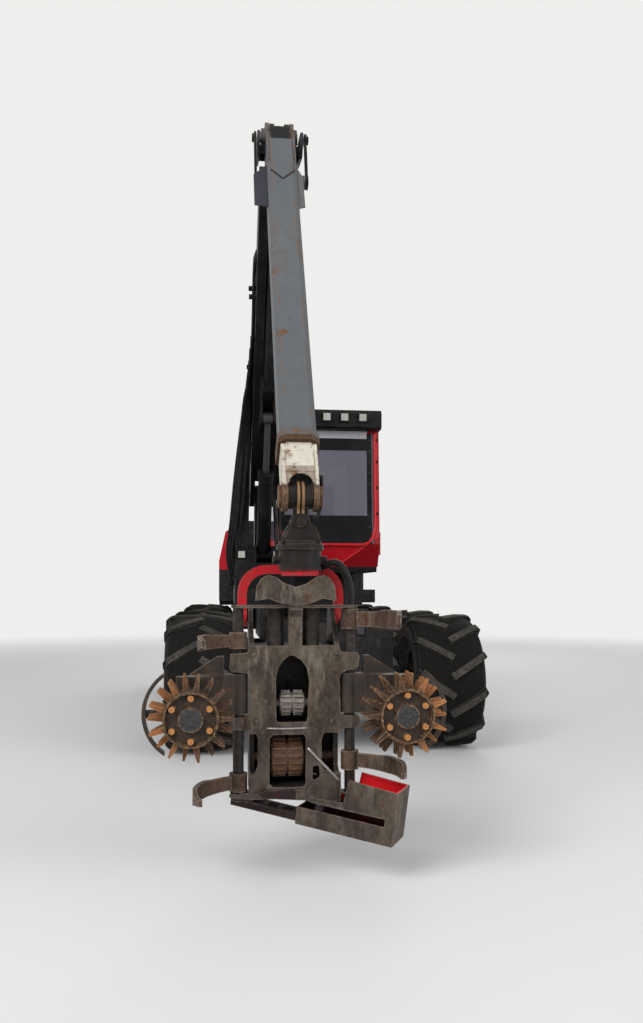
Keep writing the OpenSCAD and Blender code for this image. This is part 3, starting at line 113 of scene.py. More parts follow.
# Materials
class Tree:
    """Small helper that adds nodes to a material and joins them."""

    def __init__(self, name):
        self.mat = bpy.data.materials.new(name)
        self.mat.use_nodes = True
        self.nodes = self.mat.node_tree.nodes
        self.links = self.mat.node_tree.links
        self.shader = self.nodes["Principled BSDF"]
        self.coords = self.nodes.new("ShaderNodeTexCoord").outputs["Object"]

    def put(self, socket, value):
        """Links a socket to another, or sets it to a number, a colour or a vector."""
        if isinstance(value, bpy.types.NodeSocket):
            self.links.new(value, socket)
        elif hasattr(socket.default_value, "__len__") and not hasattr(value, "__len__"):
            socket.default_value = [value] * len(socket.default_value)
        elif hasattr(value, "__len__") and len(value) == 3 and len(socket.default_value) == 4:
            socket.default_value = (*value, 1.0)
        else:
            socket.default_value = value

    def look(self, colour, rough=None, gloss=None):
        """Gives the shader its colour and, where they are named, its roughness and specular level."""
        self.put(self.shader.inputs["Base Color"], colour)
        if rough is not None:
            self.put(self.shader.inputs["Roughness"], rough)
        if gloss is not None:
            self.put(self.shader.inputs["Specular IOR Level"], gloss)

    def noise(self, scale, detail=6.0, rough=0.55, stretch=(1, 1, 1), shift=(0, 0, 0)):
        place = self.nodes.new("ShaderNodeMapping")
        place.inputs["Scale"].default_value = stretch
        place.inputs["Location"].default_value = shift
        self.links.new(self.coords, place.inputs["Vector"])
        n = self.nodes.new("ShaderNodeTexNoise")
        n.inputs["Scale"].default_value = scale
        n.inputs["Detail"].default_value = detail
        n.inputs["Roughness"].default_value = rough
        self.links.new(place.outputs["Vector"], n.inputs["Vector"])
        return n.outputs["Fac"]

    def ramp(self, fac, low, high, top=1.0, bottom=0.0):
        """Goes smoothly from bottom to top while fac goes from low to high."""
        n = self.nodes.new("ShaderNodeMapRange")
        n.interpolation_type = "SMOOTHSTEP"
        n.inputs["From Min"].default_value = low
        n.inputs["From Max"].default_value = high
        n.inputs["To Min"].default_value = bottom
        n.inputs["To Max"].default_value = top
        self.links.new(fac, n.inputs["Value"])
        return n.outputs["Result"]

    def math(self, operation, a, b=0.0, clamp=True):
        n = self.nodes.new("ShaderNodeMath")
        n.operation = operation
        n.use_clamp = clamp
        self.put(n.inputs[0], a)
        self.put(n.inputs[1], b)
        return n.outputs[0]

    def both(self, *masks):
        """1 where every mask is 1."""
        out = masks[0]
        for m in masks[1:]:
            out = self.math("MULTIPLY", out, m)
        return out

    def either(self, a, b):
        """1 where one of two masks is 1."""
        return self.math("MAXIMUM", a, b)

    def mix(self, fac, a, b):
        n = self.nodes.new("ShaderNodeMix")
        n.data_type = "RGBA"
        self.put(n.inputs["Factor"], fac)
        self.put(n.inputs["A"], a)
        self.put(n.inputs["B"], b)
        return n.outputs["Result"]

    def vector_math(self, operation, a, b=(0, 0, 0)):
        n = self.nodes.new("ShaderNodeVectorMath")
        n.operation = operation
        self.put(n.inputs[0], a)
        self.put(n.inputs[1], b)
        return n

    def along(self, origin, direction):
        """Distance from origin along a unit direction."""
        dot = self.vector_math("DOT_PRODUCT", self.coords, tuple(direction)).outputs["Value"]
        return self.math("SUBTRACT", dot, Vector(origin).dot(Vector(direction)), clamp=False)

    def past(self, axis, place):
        """Distance past the plane that crosses an axis at place."""
        return self.along(Vector(axis) * place, axis)

    def radius(self, centre, keep):
        """Distance from centre, counted only in the axes that keep marks with 1."""
        off = self.vector_math("SUBTRACT", self.coords, tuple(centre)).outputs["Vector"]
        flat = self.vector_math("MULTIPLY", off, keep).outputs["Vector"]
        return self.vector_math("LENGTH", flat).outputs["Value"]

    def local(self, origin, turn):
        """X, Y and Z in a frame that lies at origin with the Euler angles turn."""
        place = self.nodes.new("ShaderNodeMapping")
        place.vector_type = "TEXTURE"
        place.inputs["Location"].default_value = origin
        place.inputs["Rotation"].default_value = turn
        self.links.new(self.coords, place.inputs["Vector"])
        part = self.nodes.new("ShaderNodeSeparateXYZ")
        self.links.new(place.outputs["Vector"], part.inputs[0])
        return part.outputs[0], part.outputs[1], part.outputs[2]

    def over(self, value, edge, soft=0.0015):
        """1 where value is over edge."""
        return self.ramp(value, edge - soft, edge + soft)

    def under(self, value, edge, soft=0.0015):
        """1 where value is under edge."""
        return self.ramp(value, edge - soft, edge + soft, 0.0, 1.0)

    def near(self, value, middle, half, soft=0.0015):
        """1 where value lies within half of middle."""
        off = self.math("ABSOLUTE", self.math("SUBTRACT", value, middle, clamp=False), clamp=False)
        return self.under(off, half, soft)

    def edges(self, radius=0.012):
        """Near 1 on outer and inner edges, 0 on flat faces."""
        soft = self.nodes.new("ShaderNodeBevel")
        soft.samples = 4
        soft.inputs["Radius"].default_value = radius
        true = self.nodes.new("ShaderNodeNewGeometry")
        dot = self.vector_math("DOT_PRODUCT", soft.outputs["Normal"], true.outputs["Normal"])
        return self.ramp(self.math("SUBTRACT", 1.0, dot.outputs["Value"]), 0.01, 0.12)

    def upward(self):
        """1 on faces that look up, where dust and chips lie."""
        true = self.nodes.new("ShaderNodeNewGeometry")
        part = self.nodes.new("ShaderNodeSeparateXYZ")
        self.links.new(true.outputs["Normal"], part.inputs[0])
        return self.ramp(part.outputs["Z"], 0.3, 0.95)

    def bump(self, height, distance, strength=0.5):
        n = self.nodes.new("ShaderNodeBump")
        n.inputs["Strength"].default_value = strength
        n.inputs["Distance"].default_value = distance
        self.links.new(height, n.inputs["Height"])
        self.links.new(n.outputs["Normal"], self.shader.inputs["Normal"])


def coat(name, paint, rough=0.45, metal=0.0, dirt=(0.16, 0.12, 0.085), dirt_amount=0.35,
         worn=(0.30, 0.28, 0.26), worn_amount=0.5, rust=(0.20, 0.085, 0.035), rust_amount=0.0, scale=1.0,
         grain=0.25, dusty_top=0.25, bump=0.004, streak=0.0, gloss=0.3, edge=0.012, regions=None):
    """Paint or bare metal with broken tone, dirt, rust patches and worn edges.

    regions(tree, colour, fine) may lay other tones over parts of the piece before its edges are worn,
    where fine is the small-grained noise.
    """
    t = Tree(name)
    broad = t.noise(1.6 * scale, 5.0, 0.6)
    fine = t.noise(14.0 * scale, 8.0, 0.65, shift=(3.1, 1.7, 0.4))
    tiny = t.noise(70.0 * scale, 4.0, 0.6)
    darker = [c * 0.55 for c in paint]
    paler = [min(1.0, c * 1.35 + 0.006) for c in paint]
    shade = t.mix(t.ramp(fine, 0.3, 0.75, grain), paint, darker)
    shade = t.mix(t.ramp(broad, 0.35, 0.75, grain * 0.8), shade, paler)
    soiled = t.both(t.ramp(broad, 0.42, 0.68), t.ramp(fine, 0.35, 0.7, dirt_amount * 1.6))
    soiled = t.either(soiled, t.both(t.upward(), t.ramp(fine, 0.25, 0.7, dusty_top)))
    if streak:
        run = t.noise(9.0 * scale, 5.0, 0.6, stretch=(1.0, 1.0, 0.08))
        soiled = t.either(soiled, t.ramp(run, 0.52, 0.75, streak))
    colour = t.mix(soiled, shade, dirt)
    roughness = t.mix(soiled, [rough] * 3, [0.85] * 3)
    if rust_amount:
        spot = t.noise(5.0 * scale, 9.0, 0.7, shift=(0.3, 5.2, 2.2))
        rusted = t.ramp(spot, 0.62 - 0.2 * rust_amount, 0.70 - 0.1 * rust_amount)
        colour = t.mix(rusted, colour, t.mix(tiny, rust, [c * 0.4 for c in rust]))
        roughness = t.mix(rusted, roughness, [0.9] * 3)
        metal = t.math("SUBTRACT", metal, rusted) if metal else metal
    if regions:
        colour = regions(t, colour, fine)
    rubbed = t.both(t.edges(edge), t.ramp(fine, 0.38, 0.62, worn_amount))
    t.look(t.mix(rubbed, colour, worn), roughness, gloss)
    t.put(t.shader.inputs["Metallic"], metal)
    t.bump(t.mix(0.4, fine, tiny), bump, 0.35)
    return t.mat


def tyre(name, wheel_y):
    """Rubber: dusty lug tops and edges, painted shade in the grooves, a dusty sidewall."""
    t = Tree(name)
    broad = t.noise(3.0, 6.0, 0.6)
    fine = t.noise(38.0, 6.0, 0.6)
    r = t.radius((0, wheel_y, WHEEL_Z), (0, 1, 1))
    top = t.both(t.over(r, LUG_R, 0.012), t.ramp(fine, 0.25, 0.7, 0.75), t.ramp(broad, 0.2, 0.6, 1.0, 0.4))
    edge = t.both(t.edges(0.018), t.ramp(broad, 0.2, 0.65, 0.7, 0.15))
    groove_shade = t.both(t.under(r, GROOVE_R, 0.006), t.over(r, SHOULDER_R, 0.02))
    wall = t.both(t.under(r, WALL_R, 0.02), t.ramp(fine, 0.3, 0.75, 0.35))
    colour = t.mix(wall, (0.020, 0.019, 0.018), (0.10, 0.088, 0.074))
    # Painted shade: darker rubber at the grooves' depth, between the lugs
    colour = t.mix(groove_shade, colour, (0.008, 0.0075, 0.007))
    t.look(t.mix(t.either(top, edge), colour, (0.105, 0.095, 0.083)), 0.85, 0.12)
    t.bump(fine, 0.004, 0.45)
    return t.mat


def rubber(name, base, dusty, amount):
    """Hose rubber with dust in patches and on its ridges."""
    t = Tree(name)
    broad = t.noise(12.0, 6.0, 0.6)
    fine = t.noise(160.0, 6.0, 0.6)
    patch = t.both(t.ramp(broad, 0.35, 0.65), t.ramp(fine, 0.3, 0.65, amount))
    t.look(t.mix(patch, base, dusty), 0.5, 0.15)
    t.bump(fine, 0.002, 0.4)
    return t.mat


def glass(name, tint, see_through):
    """Tinted pane with a dusty film."""
    t = Tree(name)
    film = t.ramp(t.noise(3.0, 7.0, 0.65), 0.35, 0.75, 0.3)
    t.look(t.mix(film, tint, (0.26, 0.24, 0.28)), t.mix(film, [0.06] * 3, [0.5] * 3))
    t.shader.inputs["IOR"].default_value = 1.5
    t.shader.inputs["Alpha"].default_value = 1.0 - see_through
    return t.mat


def lamp_glass(name):
    """Pale uneven lens of a lamp."""
    t = Tree(name)
    rib = t.noise(60.0, 2.0, 0.4)
    t.look(t.mix(rib, (0.50, 0.49, 0.44), (0.30, 0.29, 0.26)), 0.15)
    t.bump(rib, 0.002, 0.5)
    return t.mat


def cloth(name, colour):
    """Matt weave of the seat."""
    t = Tree(name)
    weave = t.noise(260.0, 3.0, 0.5)
    t.look(t.mix(t.ramp(weave, 0.35, 0.65), colour, [c * 1.8 for c in colour]), 0.95)
    t.shader.inputs["Sheen Weight"].default_value = 0.3
    t.bump(weave, 0.002, 0.6)
    return t.mat


# Tones for parts of a piece. A region takes the tree, the colour so far and the fine noise.
def grimy(t, colour, dark=0.85, pale=0.6):
    """Long dark stains and paler scuffs, as on steel that handles wet wood."""
    stain = t.noise(6.0, 10.0, 0.75, stretch=(1.0, 1.0, 0.5), shift=(2.7, 0.3, 4.4))
    colour = t.mix(t.ramp(stain, 0.42, 0.60, dark), colour, (0.026, 0.018, 0.013))
    scuff = t.noise(9.0, 10.0, 0.75, stretch=(1.0, 1.0, 0.30), shift=(7.1, 0.9, 1.6))
    return t.mix(t.ramp(scuff, 0.50, 0.64, pale), colour, (0.22, 0.185, 0.145))


def knife_region(t, colour, fine):
    """The stains and scuffs alone."""
    return grimy(t, colour, 0.75, 0.30)


def collar_region(t, colour, fine):
    """Bare rusty lip of the outer boom's mouth, a scraped band above it, and a black tube at its top pin."""
    band, lip = 0.085, 0.034
    reach = t.along(BOOM_TOP, STICK_LINE)
    scraped = t.both(t.over(reach, STICK_END - band, 0.02), t.ramp(fine, 0.35, 0.6))
    colour = t.mix(scraped, colour, (0.115, 0.070, 0.042))
    bare = t.mix(t.ramp(fine, 0.35, 0.65), (0.085, 0.042, 0.024), (0.030, 0.020, 0.015))
    colour = t.mix(t.over(reach, STICK_END - lip, 0.004), colour, bare)
    tube = t.both(t.near(t.past(X, CRANE_X), 0.0, PIN_TUBE_HALF), t.under(reach, PIN_TUBE_END, 0.004))
    return t.mix(tube, colour, (0.008, 0.008, 0.009))


def fork_region(t, colour, fine):
    """Rusty bosses at the telescope's pin, and a browner middle between the cheeks of its fork."""
    rust = t.mix(t.ramp(fine, 0.35, 0.65), (0.150, 0.078, 0.034), (0.035, 0.022, 0.016))
    boss = t.under(t.radius(STICK_TIP, (0, 1, 1)), TIP_BOSS_R, 0.004)
    inner = t.near(t.past(X, CRANE_X), 0.0, FORK_HALF, 0.002)
    low = t.over(t.along(BOOM_TOP, STICK_LINE), FORK_TOP, 0.004)
    colour = t.mix(t.both(inner, low), colour, t.mix(0.6, colour, rust))
    return t.mix(boss, colour, rust)


def head_region(t, colour, fine):
    """Near-black behind the head's front plate and on its shafts, and dark stains on the plate."""
    shaft_front = 0.006
    colour = grimy(t, colour)
    behind = t.over(t.past(Y, FRONT_Y + PLATE_BACK), 0.0, 0.001)
    sideways = t.math("ABSOLUTE", t.past(X, HEAD_X), clamp=False)
    deep = t.over(t.past(Y, FRONT_Y + shaft_front), 0.0, 0.001)
    shaft = t.both(t.near(sideways, SHAFT_X, SHAFT_HALF), deep)
    darker_tone = t.mix(t.ramp(fine, 0.4, 0.7), (0.017, 0.014, 0.012), (0.050, 0.038, 0.029))
    return t.mix(t.either(behind, shaft), colour, darker_tone)


def roller_region(sign):
    """Tones of a feed roller: dark disc and hub, orange bolts and spikes."""
    centre = (HEAD_X + sign * ROLLER_X, 0, ROLLER_Z)
    inner_side = (HEAD_X + sign * (ROLLER_X + 0.05), 0, 0)

    def regions(t, colour, fine):
        r = t.radius(centre, (1, 0, 1))
        # spikes on the side of the head are greasy and dark
        greasy = t.over(t.along(inner_side, (-sign, 0, 0)), 0.0, 0.13)
        grime = t.noise(9.0, 7.0, 0.7, shift=(sign * 3.0, 1.0, 2.0))
        colour = t.mix(t.both(greasy, t.ramp(grime, 0.22, 0.46)), colour, (0.055, 0.034, 0.024))
        disc = t.mix(t.ramp(fine, 0.4, 0.7), (0.030, 0.021, 0.016), (0.075, 0.045, 0.027))
        colour = t.mix(t.under(r, DISC_R, 0.004), colour, disc)
        heads = t.over(t.along((0, BOLT_HEADS_Y, 0), (0, -1, 0)), 0.0, 0.001)
        orange = t.mix(t.ramp(fine, 0.4, 0.65), (0.42, 0.185, 0.06), (0.26, 0.10, 0.03))
        colour = t.mix(t.both(t.near(r, BOLT_RING_R, BOLT_R), heads), colour, orange)
        hub = t.mix(t.ramp(fine, 0.4, 0.7), (0.022, 0.024, 0.026), (0.06, 0.055, 0.05))
        return t.mix(t.under(r, HUB_R), colour, hub)
    return regions


def saw_region(t, colour, fine):
    """Bright red inside the saw box with painted shade near its floor, a dark guard ladder, and brown steel
    outside.
    """
    sharp = 0.0008
    length_middle, length_half = 0.1925, 0.2765
    depth_middle, depth_half = -0.005, 0.109
    floor_z, shade_z, guard_x = -0.114, 0.02, -0.0915
    skirt_x, skirt_z = HEAD_X + 0.262, 0.412
    colour = grimy(t, colour, 0.8, 0.45)
    x, y, z = t.local(SAW_PLACE, (0, SAW_ROLL, SAW_YAW))
    inside = t.both(t.near(y, depth_middle, depth_half, sharp), t.near(x, length_middle, length_half, sharp),
                    t.over(z, floor_z, sharp))
    skirt = t.both(t.under(t.past(X, skirt_x), 0.0), t.over(t.past(Z, skirt_z), 0.0))
    inside = t.both(inside, t.math("SUBTRACT", 1.0, skirt))
    red = t.mix(t.ramp(fine, 0.55, 0.8, 0.5), (0.68, 0.004, 0.010), (0.30, 0.012, 0.012))
    # Painted shade: darker red low in the box, near its floor
    red = t.mix(t.over(z, shade_z, 0.03), (0.060, 0.006, 0.007), red)
    ladder = t.mix(t.ramp(fine, 0.5, 0.75), (0.018, 0.010, 0.011), (0.09, 0.012, 0.015))
    return t.mix(t.under(x, guard_x, sharp), t.mix(inside, colour, red), ladder)


def cab_shade_and_highlight(t, colour, fine):
    """Painted shade on the cab's side and the part of its nose that turns to the side, as a darker red, and a
    painted highlight along the crease.
    """
    wall, crease = 0.012, 0.007
    # Painted shade: a darker red on the faces that turn to the side
    painted_shade_red = t.mix(t.ramp(fine, 0.5, 0.8, 0.4), (0.26, 0.005, 0.010), (0.16, 0.008, 0.010))
    side = t.over(t.past(X, CAB_X1 - wall), 0.0, 0.004)
    front = t.under(t.past(Y, CAB_Y + NOSE_DEPTH), 0.0, 0.004)
    outside = t.along(CREASE_TOP, CREASE_OUT)
    colour = t.mix(t.either(side, t.both(front, t.over(outside, 0.0, 0.002))), colour, painted_shade_red)
    # Painted highlight: a bright red line along the nose's crease, below the sill
    crease_highlight = t.both(front, t.near(outside, 0.0, crease, 0.002), t.under(t.past(Z, SILL_Z), 0.0))
    return t.mix(crease_highlight, colour, (0.74, 0.045, 0.055))


def hood_region(t, colour, fine):
    """Black intake on the hood's front and slope, and a black skirt under a red upper corner."""
    dark = t.mix(t.ramp(fine, 0.45, 0.75), (0.009, 0.009, 0.010), (0.035, 0.030, 0.026))
    front = t.under(t.past(Y, HOOD_Y + HOOD_SLOPE), 0.0, 0.004)
    sideways = t.math("ABSOLUTE", t.past(X, 0), clamp=False)
    middle = t.under(sideways, HOOD_HALF - HOOD_BORDER, 0.003)
    skirt = t.under(t.past(Z, HOOD_SKIRT_Z), 0.0, 0.003)
    return t.mix(t.either(t.both(front, middle), skirt), colour, dark)


RED = (0.56, 0.006, 0.016)
RED_WEAR = dict(worn=(0.24, 0.07, 0.06), worn_amount=0.3, grain=0.15, bump=0.0015)
ORANGE_RUST = (0.36, 0.140, 0.042)
MATERIALS = {
    # paint and castings
    "red": coat("red_paint", RED, 0.30, dirt_amount=0.2, dusty_top=0.15, **RED_WEAR),
    "cab_red": coat("cab_paint", RED, 0.30, dirt_amount=0.2, dusty_top=0.15, regions=cab_shade_and_highlight, **RED_WEAR),
    "hood_red": coat("hood_paint", RED, 0.32, dirt_amount=0.25, dusty_top=0.2, regions=hood_region,
                     **RED_WEAR),
    "red_dirty": coat("red_dirty", (0.52, 0.006, 0.014), 0.5, dirt=(0.10, 0.05, 0.04), dirt_amount=0.45,
                      worn=(0.16, 0.08, 0.07), worn_amount=0.7, rust_amount=0.2, scale=2.5, bump=0.003),
    "black": coat("black_paint", (0.010, 0.010, 0.011), 0.5, dirt=(0.06, 0.052, 0.043), dirt_amount=0.35,
                  worn=(0.09, 0.08, 0.07), worn_amount=0.45, grain=0.3, dusty_top=0.3, gloss=0.08),
    "roof": coat("roof_black", (0.006, 0.006, 0.007), 0.4, dirt=(0.05, 0.045, 0.04), dirt_amount=0.2,
                 worn=(0.06, 0.06, 0.06), worn_amount=0.3, grain=0.2, dusty_top=0.2, gloss=0.10),
    "crane": coat("crane_black", (0.005, 0.005, 0.006), 0.42, dirt=(0.05, 0.042, 0.034), dirt_amount=0.3,
                  worn=(0.10, 0.075, 0.055), worn_amount=0.65, grain=0.3, dusty_top=0.2, streak=0.12,
                  gloss=0.10),
    "slate": coat("slate_paint", (0.028, 0.029, 0.043), 0.5, dirt=(0.09, 0.07, 0.05), dirt_amount=0.3,
                  worn=(0.13, 0.095, 0.065), worn_amount=0.65, scale=2.0, gloss=0.12),
    "grey": coat("boom_grey", (0.105, 0.117, 0.128), 0.5, dirt=(0.12, 0.09, 0.065), dirt_amount=0.3,
                 worn=(0.17, 0.095, 0.050), worn_amount=0.9, rust_amount=0.06, streak=0.15, gloss=0.12,
                 edge=0.03, regions=collar_region),
    "cream": coat("cream_paint", (0.58, 0.55, 0.46), 0.55, dirt=(0.26, 0.18, 0.11), dirt_amount=0.5,
                  worn=(0.20, 0.095, 0.045), worn_amount=0.95, rust=(0.20, 0.080, 0.03), rust_amount=0.45,
                  scale=2.2, grain=0.2, streak=0.3, regions=fork_region),
    "soiled": coat("oily_black", (0.014, 0.012, 0.011), 0.45, dirt=(0.085, 0.062, 0.045), dirt_amount=0.55,
                   worn=(0.13, 0.10, 0.075), worn_amount=0.6, scale=3.0, grain=0.35, gloss=0.15),
    "rim": coat("rim_paint", (0.022, 0.022, 0.024), 0.55, dirt=(0.10, 0.082, 0.064), dirt_amount=0.6,
                dusty_top=0.5, gloss=0.25),
    "engine": coat("engine_cast", (0.05, 0.05, 0.05), 0.6, dirt_amount=0.4),
    "strip": coat("pale_strip", (0.40, 0.39, 0.42), 0.5, dirt_amount=0.2, worn_amount=0.1),
    # steel of the head, the crane's rods and the rails
    "head": coat("head_steel", (0.098, 0.078, 0.058), 0.52, metal=0.2, dirt=(0.055, 0.038, 0.026),
                 dirt_amount=0.6, worn=(0.24, 0.20, 0.16), worn_amount=0.75, rust=(0.115, 0.055, 0.030),
                 rust_amount=0.45, scale=2.2, grain=0.4, dusty_top=0.3, streak=0.3, regions=head_region),
    "arm": coat("arm_steel", (0.034, 0.027, 0.022), 0.5, metal=0.2, dirt=(0.085, 0.055, 0.036),
                dirt_amount=0.55, worn=(0.19, 0.14, 0.10), worn_amount=0.75, rust=(0.13, 0.058, 0.028),
                rust_amount=0.45, scale=3.0, grain=0.4),
    "roller_l": coat("roller_rust_l", ORANGE_RUST, 0.75, dirt=(0.16, 0.068, 0.028), dirt_amount=0.7,
                     worn=(0.62, 0.33, 0.13), worn_amount=0.6, rust=(0.24, 0.085, 0.025), rust_amount=0.5,
                     scale=4.0, grain=0.4, regions=roller_region(1)),
    "roller_r": coat("roller_rust_r", [c * 0.85 for c in ORANGE_RUST], 0.75, dirt=(0.13, 0.058, 0.026),
                     dirt_amount=0.8, worn=(0.52, 0.28, 0.12), worn_amount=0.6, rust=(0.20, 0.075, 0.025),
                     rust_amount=0.6, scale=4.0, grain=0.4, regions=roller_region(-1)),
    "roller_pale": coat("inner_roller", (0.22, 0.19, 0.16), 0.45, metal=0.3, dirt=(0.07, 0.05, 0.035),
                        dirt_amount=0.7, worn=(0.62, 0.60, 0.57), worn_amount=1.0, rust_amount=0.25,
                        scale=4.0, edge=0.006),
    "roller_brown": coat("inner_roller_brown", (0.12, 0.060, 0.035), 0.6, metal=0.1,
                         dirt=(0.045, 0.026, 0.018), dirt_amount=0.7, worn=(0.42, 0.27, 0.18),
                         worn_amount=1.0, rust_amount=0.5, scale=4.0, edge=0.006),
    "knife": coat("knife_steel", (0.105, 0.066, 0.043), 0.55, metal=0.2, dirt=(0.050, 0.032, 0.022),
                  dirt_amount=0.55, worn=(0.40, 0.30, 0.245), worn_amount=0.85, rust=(0.105, 0.042, 0.022),
                  rust_amount=0.6, scale=3.5, grain=0.4, streak=0.3, regions=knife_region),
    "saw": coat("saw_box_steel", (0.092, 0.072, 0.054), 0.55, metal=0.2, dirt=(0.06, 0.040, 0.028),
                dirt_amount=0.6, worn=(0.24, 0.19, 0.15), worn_amount=0.8, rust=(0.13, 0.055, 0.030),
                rust_amount=0.4, scale=2.4, grain=0.4, streak=0.3, regions=saw_region),
    "bright": coat("scratched_steel", (0.36, 0.34, 0.32), 0.4, metal=0.7, dirt_amount=0.4,
                   worn=(0.6, 0.58, 0.56), worn_amount=0.6, rust_amount=0.3, scale=4.0),
    "rod": coat("oily_rod", (0.055, 0.052, 0.050), 0.3, metal=0.6, dirt=(0.02, 0.016, 0.013),
                dirt_amount=0.6, worn_amount=0.2),
    "rail_rust": coat("rail_rust", (0.22, 0.125, 0.060), 0.55, metal=0.4, dirt_amount=0.5,
                      worn=(0.42, 0.30, 0.18), worn_amount=0.8, rust_amount=0.3, scale=6.0),
    # rubber, glass and cloth
    "hose": rubber("hose_rubber", (0.0065, 0.0065, 0.007), (0.05, 0.042, 0.034), 0.35),
    "glass": glass("tinted_glass", (0.165, 0.158, 0.205), 0.34),
    "glass_dark": glass("window_glass", (0.030, 0.028, 0.036), 0.5),
    "lamp": lamp_glass("lamp_glass"),
    "seat": cloth("seat_cloth", (0.020, 0.020, 0.022)),
}
for row, wheel_y in WHEEL_Y.items():
    MATERIALS[f"tyre_{row}"] = tyre(f"tyre_rubber_{row}", wheel_y)

# Which CAD nodes wear which material
DRESS = {
    "rim": [n for n in NODES if n.startswith("rim_")],
    "black": ["front_frame", "front_bogie", "rear_frame", "rear_bogie", "deck", "cab_floor"],
    "roof": ["cab_roof"],
    "engine": ["engine_block"],
    "red": ["door"],
    "hood_red": ["hood"],
    "cab_red": ["cab_shell"],
    "red_dirty": ["yoke"],
    "saw": ["saw_box"],
    "glass": ["glazing"],
    "glass_dark": ["door_glass"],
    "seat": ["seat"],
    "crane": ["crane_base", "main_boom", "lift_barrel", "stick_barrel", "knuckle_link"],
    "rod": ["lift_rod", "stick_rod"],
    "slate": ["knuckle_rocker"],
    "grey": ["outer_boom"],
    "cream": ["extension"],
    "soiled": ["tip_link", "rotator"],
    "head": ["head_frame"],
    "arm": ["feed_arm_l", "feed_arm_r"],
    "roller_pale": ["head_roller_u"],
    "roller_brown": ["head_roller_d"],
    "roller_l": ["feed_roller_l"],
    "roller_r": ["feed_roller_r"],
    "knife": ["upper_knife_l", "upper_knife_r", "lower_knife_l", "lower_knife_r"],
    "bright": ["saw_bar"],
}
for row in WHEEL_Y:
    DRESS[f"tyre_{row}"] = [f"tyre_{row}l", f"tyre_{row}r"]
for kind, names in DRESS.items():
    for name in names:
        mesh = NODES[name].data
        mesh.materials.clear()
        mesh.materials.append(MATERIALS[kind])


# Mesh helpers
def add_mesh(name, verts, faces, kind, body, smooth=True):
    """A piece of material kind that, where a body is named, rides on it."""
    mesh = bpy.data.meshes.new(name)
    mesh.from_pydata([tuple(v) for v in verts], [], faces)
    mesh.update()
    if smooth:
        mesh.polygons.foreach_set("use_smooth", [True] * len(mesh.polygons))
    obj = bpy.data.objects.new(name, mesh)
    bpy.context.scene.collection.objects.link(obj)
    mesh.materials.append(MATERIALS[kind])
    if body:
        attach(obj, body)
    return obj


def smooth_path(points, step=0.03):
    """Points along a Catmull-Rom curve through the given ones."""
    pts = [Vector(p) for p in points]
    pts = [2 * pts[0] - pts[1]] + pts + [2 * pts[-1] - pts[-2]]
    out = []
    for i in range(1, len(pts) - 2):
        p0, p1, p2, p3 = pts[i - 1:i + 3]
        count = max(2, int((p2 - p1).length / step))
        for k in range(count):
            t = k / count
            out.append(0.5 * ((2 * p1) + (p2 - p0) * t + (2 * p0 - 5 * p1 + 4 * p2 - p3) * t * t
                              + (3 * p1 - p0 - 3 * p2 + p3) * t ** 3))
    out.append(pts[-2])
    return out


def sweep(path, radius, sides=10, wave=0.0, pitch=0.03):
    """Vertices and faces of a round tube along a path. Wave gives it the ridges of a spiral guard."""
    verts, faces = [], []
    tangent = (path[1] - path[0]).normalized()
    side = tangent.orthogonal().normalized()
    run = 0.0
    for i, p in enumerate(path):
        if i:
            run += (p - path[i - 1]).length
        new = (path[min(i + 1, len(path) - 1)] - path[max(i - 1, 0)]).normalized()
        side = (tangent.rotation_difference(new) @ side).normalized()
        tangent = new
        up = tangent.cross(side)
        for k in range(sides):
            a = 2 * math.pi * k / sides
            r = radius * (1 + wave * math.sin(2 * math.pi * run / pitch - a))
            verts.append(p + (side * math.cos(a) + up * math.sin(a)) * r)
    rows = len(path)
    for i in range(rows - 1):
        for k in range(sides):
            a, b = i * sides + k, i * sides + (k + 1) % sides
            faces.append((a, b, b + sides, a + sides))
    faces.append(tuple(range(sides - 1, -1, -1)))
    faces.append(tuple((rows - 1) * sides + k for k in range(sides)))
    return verts, faces


def hose(name, points, radius, body=None, between=None, wave=0.0, kind="hose", step=0.03, slot="crane_black"):
    """One hose, pipe, rail or weld bead: rides on a body, or, where two bodies are named, stays fixed where
    it is drawn.
    """
    verts, faces = sweep(smooth_path(points, step), radius, wave=wave)
    obj = add_mesh(name, verts, faces, kind, body)
    if between:
        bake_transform(obj)
    return obj


def prism_at(p, axis, radius, length, sides=6):
    """Vertices and faces of a small prism with a bevelled top, such as a bolt head, on p along axis."""
    axis = Vector(axis).normalized()
    side = axis.orthogonal().normalized()
    up = axis.cross(side)
    verts, faces = [], []
    for h, r in ((0.0, radius), (length * 0.75, radius), (length, radius * 0.8)):
        for k in range(sides):
            a = 2 * math.pi * k / sides
            verts.append(Vector(p) + axis * h + (side * math.cos(a) + up * math.sin(a)) * r)
    for j in range(2):
        for k in range(sides):
            n = (k + 1) % sides
            faces.append((j * sides + k, j * sides + n, (j + 1) * sides + n, (j + 1) * sides + k))
    faces.append(tuple(2 * sides + k for k in range(sides)))
    faces.append(tuple(range(sides - 1, -1, -1)))
    return verts, faces


def bolts(name, places, axis, radius, length, kind, body, slot):
    """Bolt heads in one object."""
    verts, faces = [], []
    for p in places:
        v, f = prism_at(p, axis, radius, length)
        faces += [tuple(i + len(verts) for i in face) for face in f]
        verts += v
    return add_mesh(name, verts, faces, kind, body, smooth=False)


def plate(name, outline, thick, kind, body, slot):
    """A flat plate: outline holds its points in order, thick is the vector through it."""
    count = len(outline)
    verts = [Vector(p) for p in outline] + [Vector(p) + Vector(thick) for p in outline]
    faces = [tuple(range(count)), tuple(range(2 * count - 1, count - 1, -1))]
    faces += [(i, i + count, (i + 1) % count + count, (i + 1) % count) for i in range(count)]
    obj = add_mesh(name, verts, faces, kind, body, smooth=False)
    bevel = obj.modifiers.new("edge", "BEVEL")
    bevel.width = 0.25 * Vector(thick).length
    bevel.segments = 2
    bevel.limit_method = "ANGLE"
    return obj
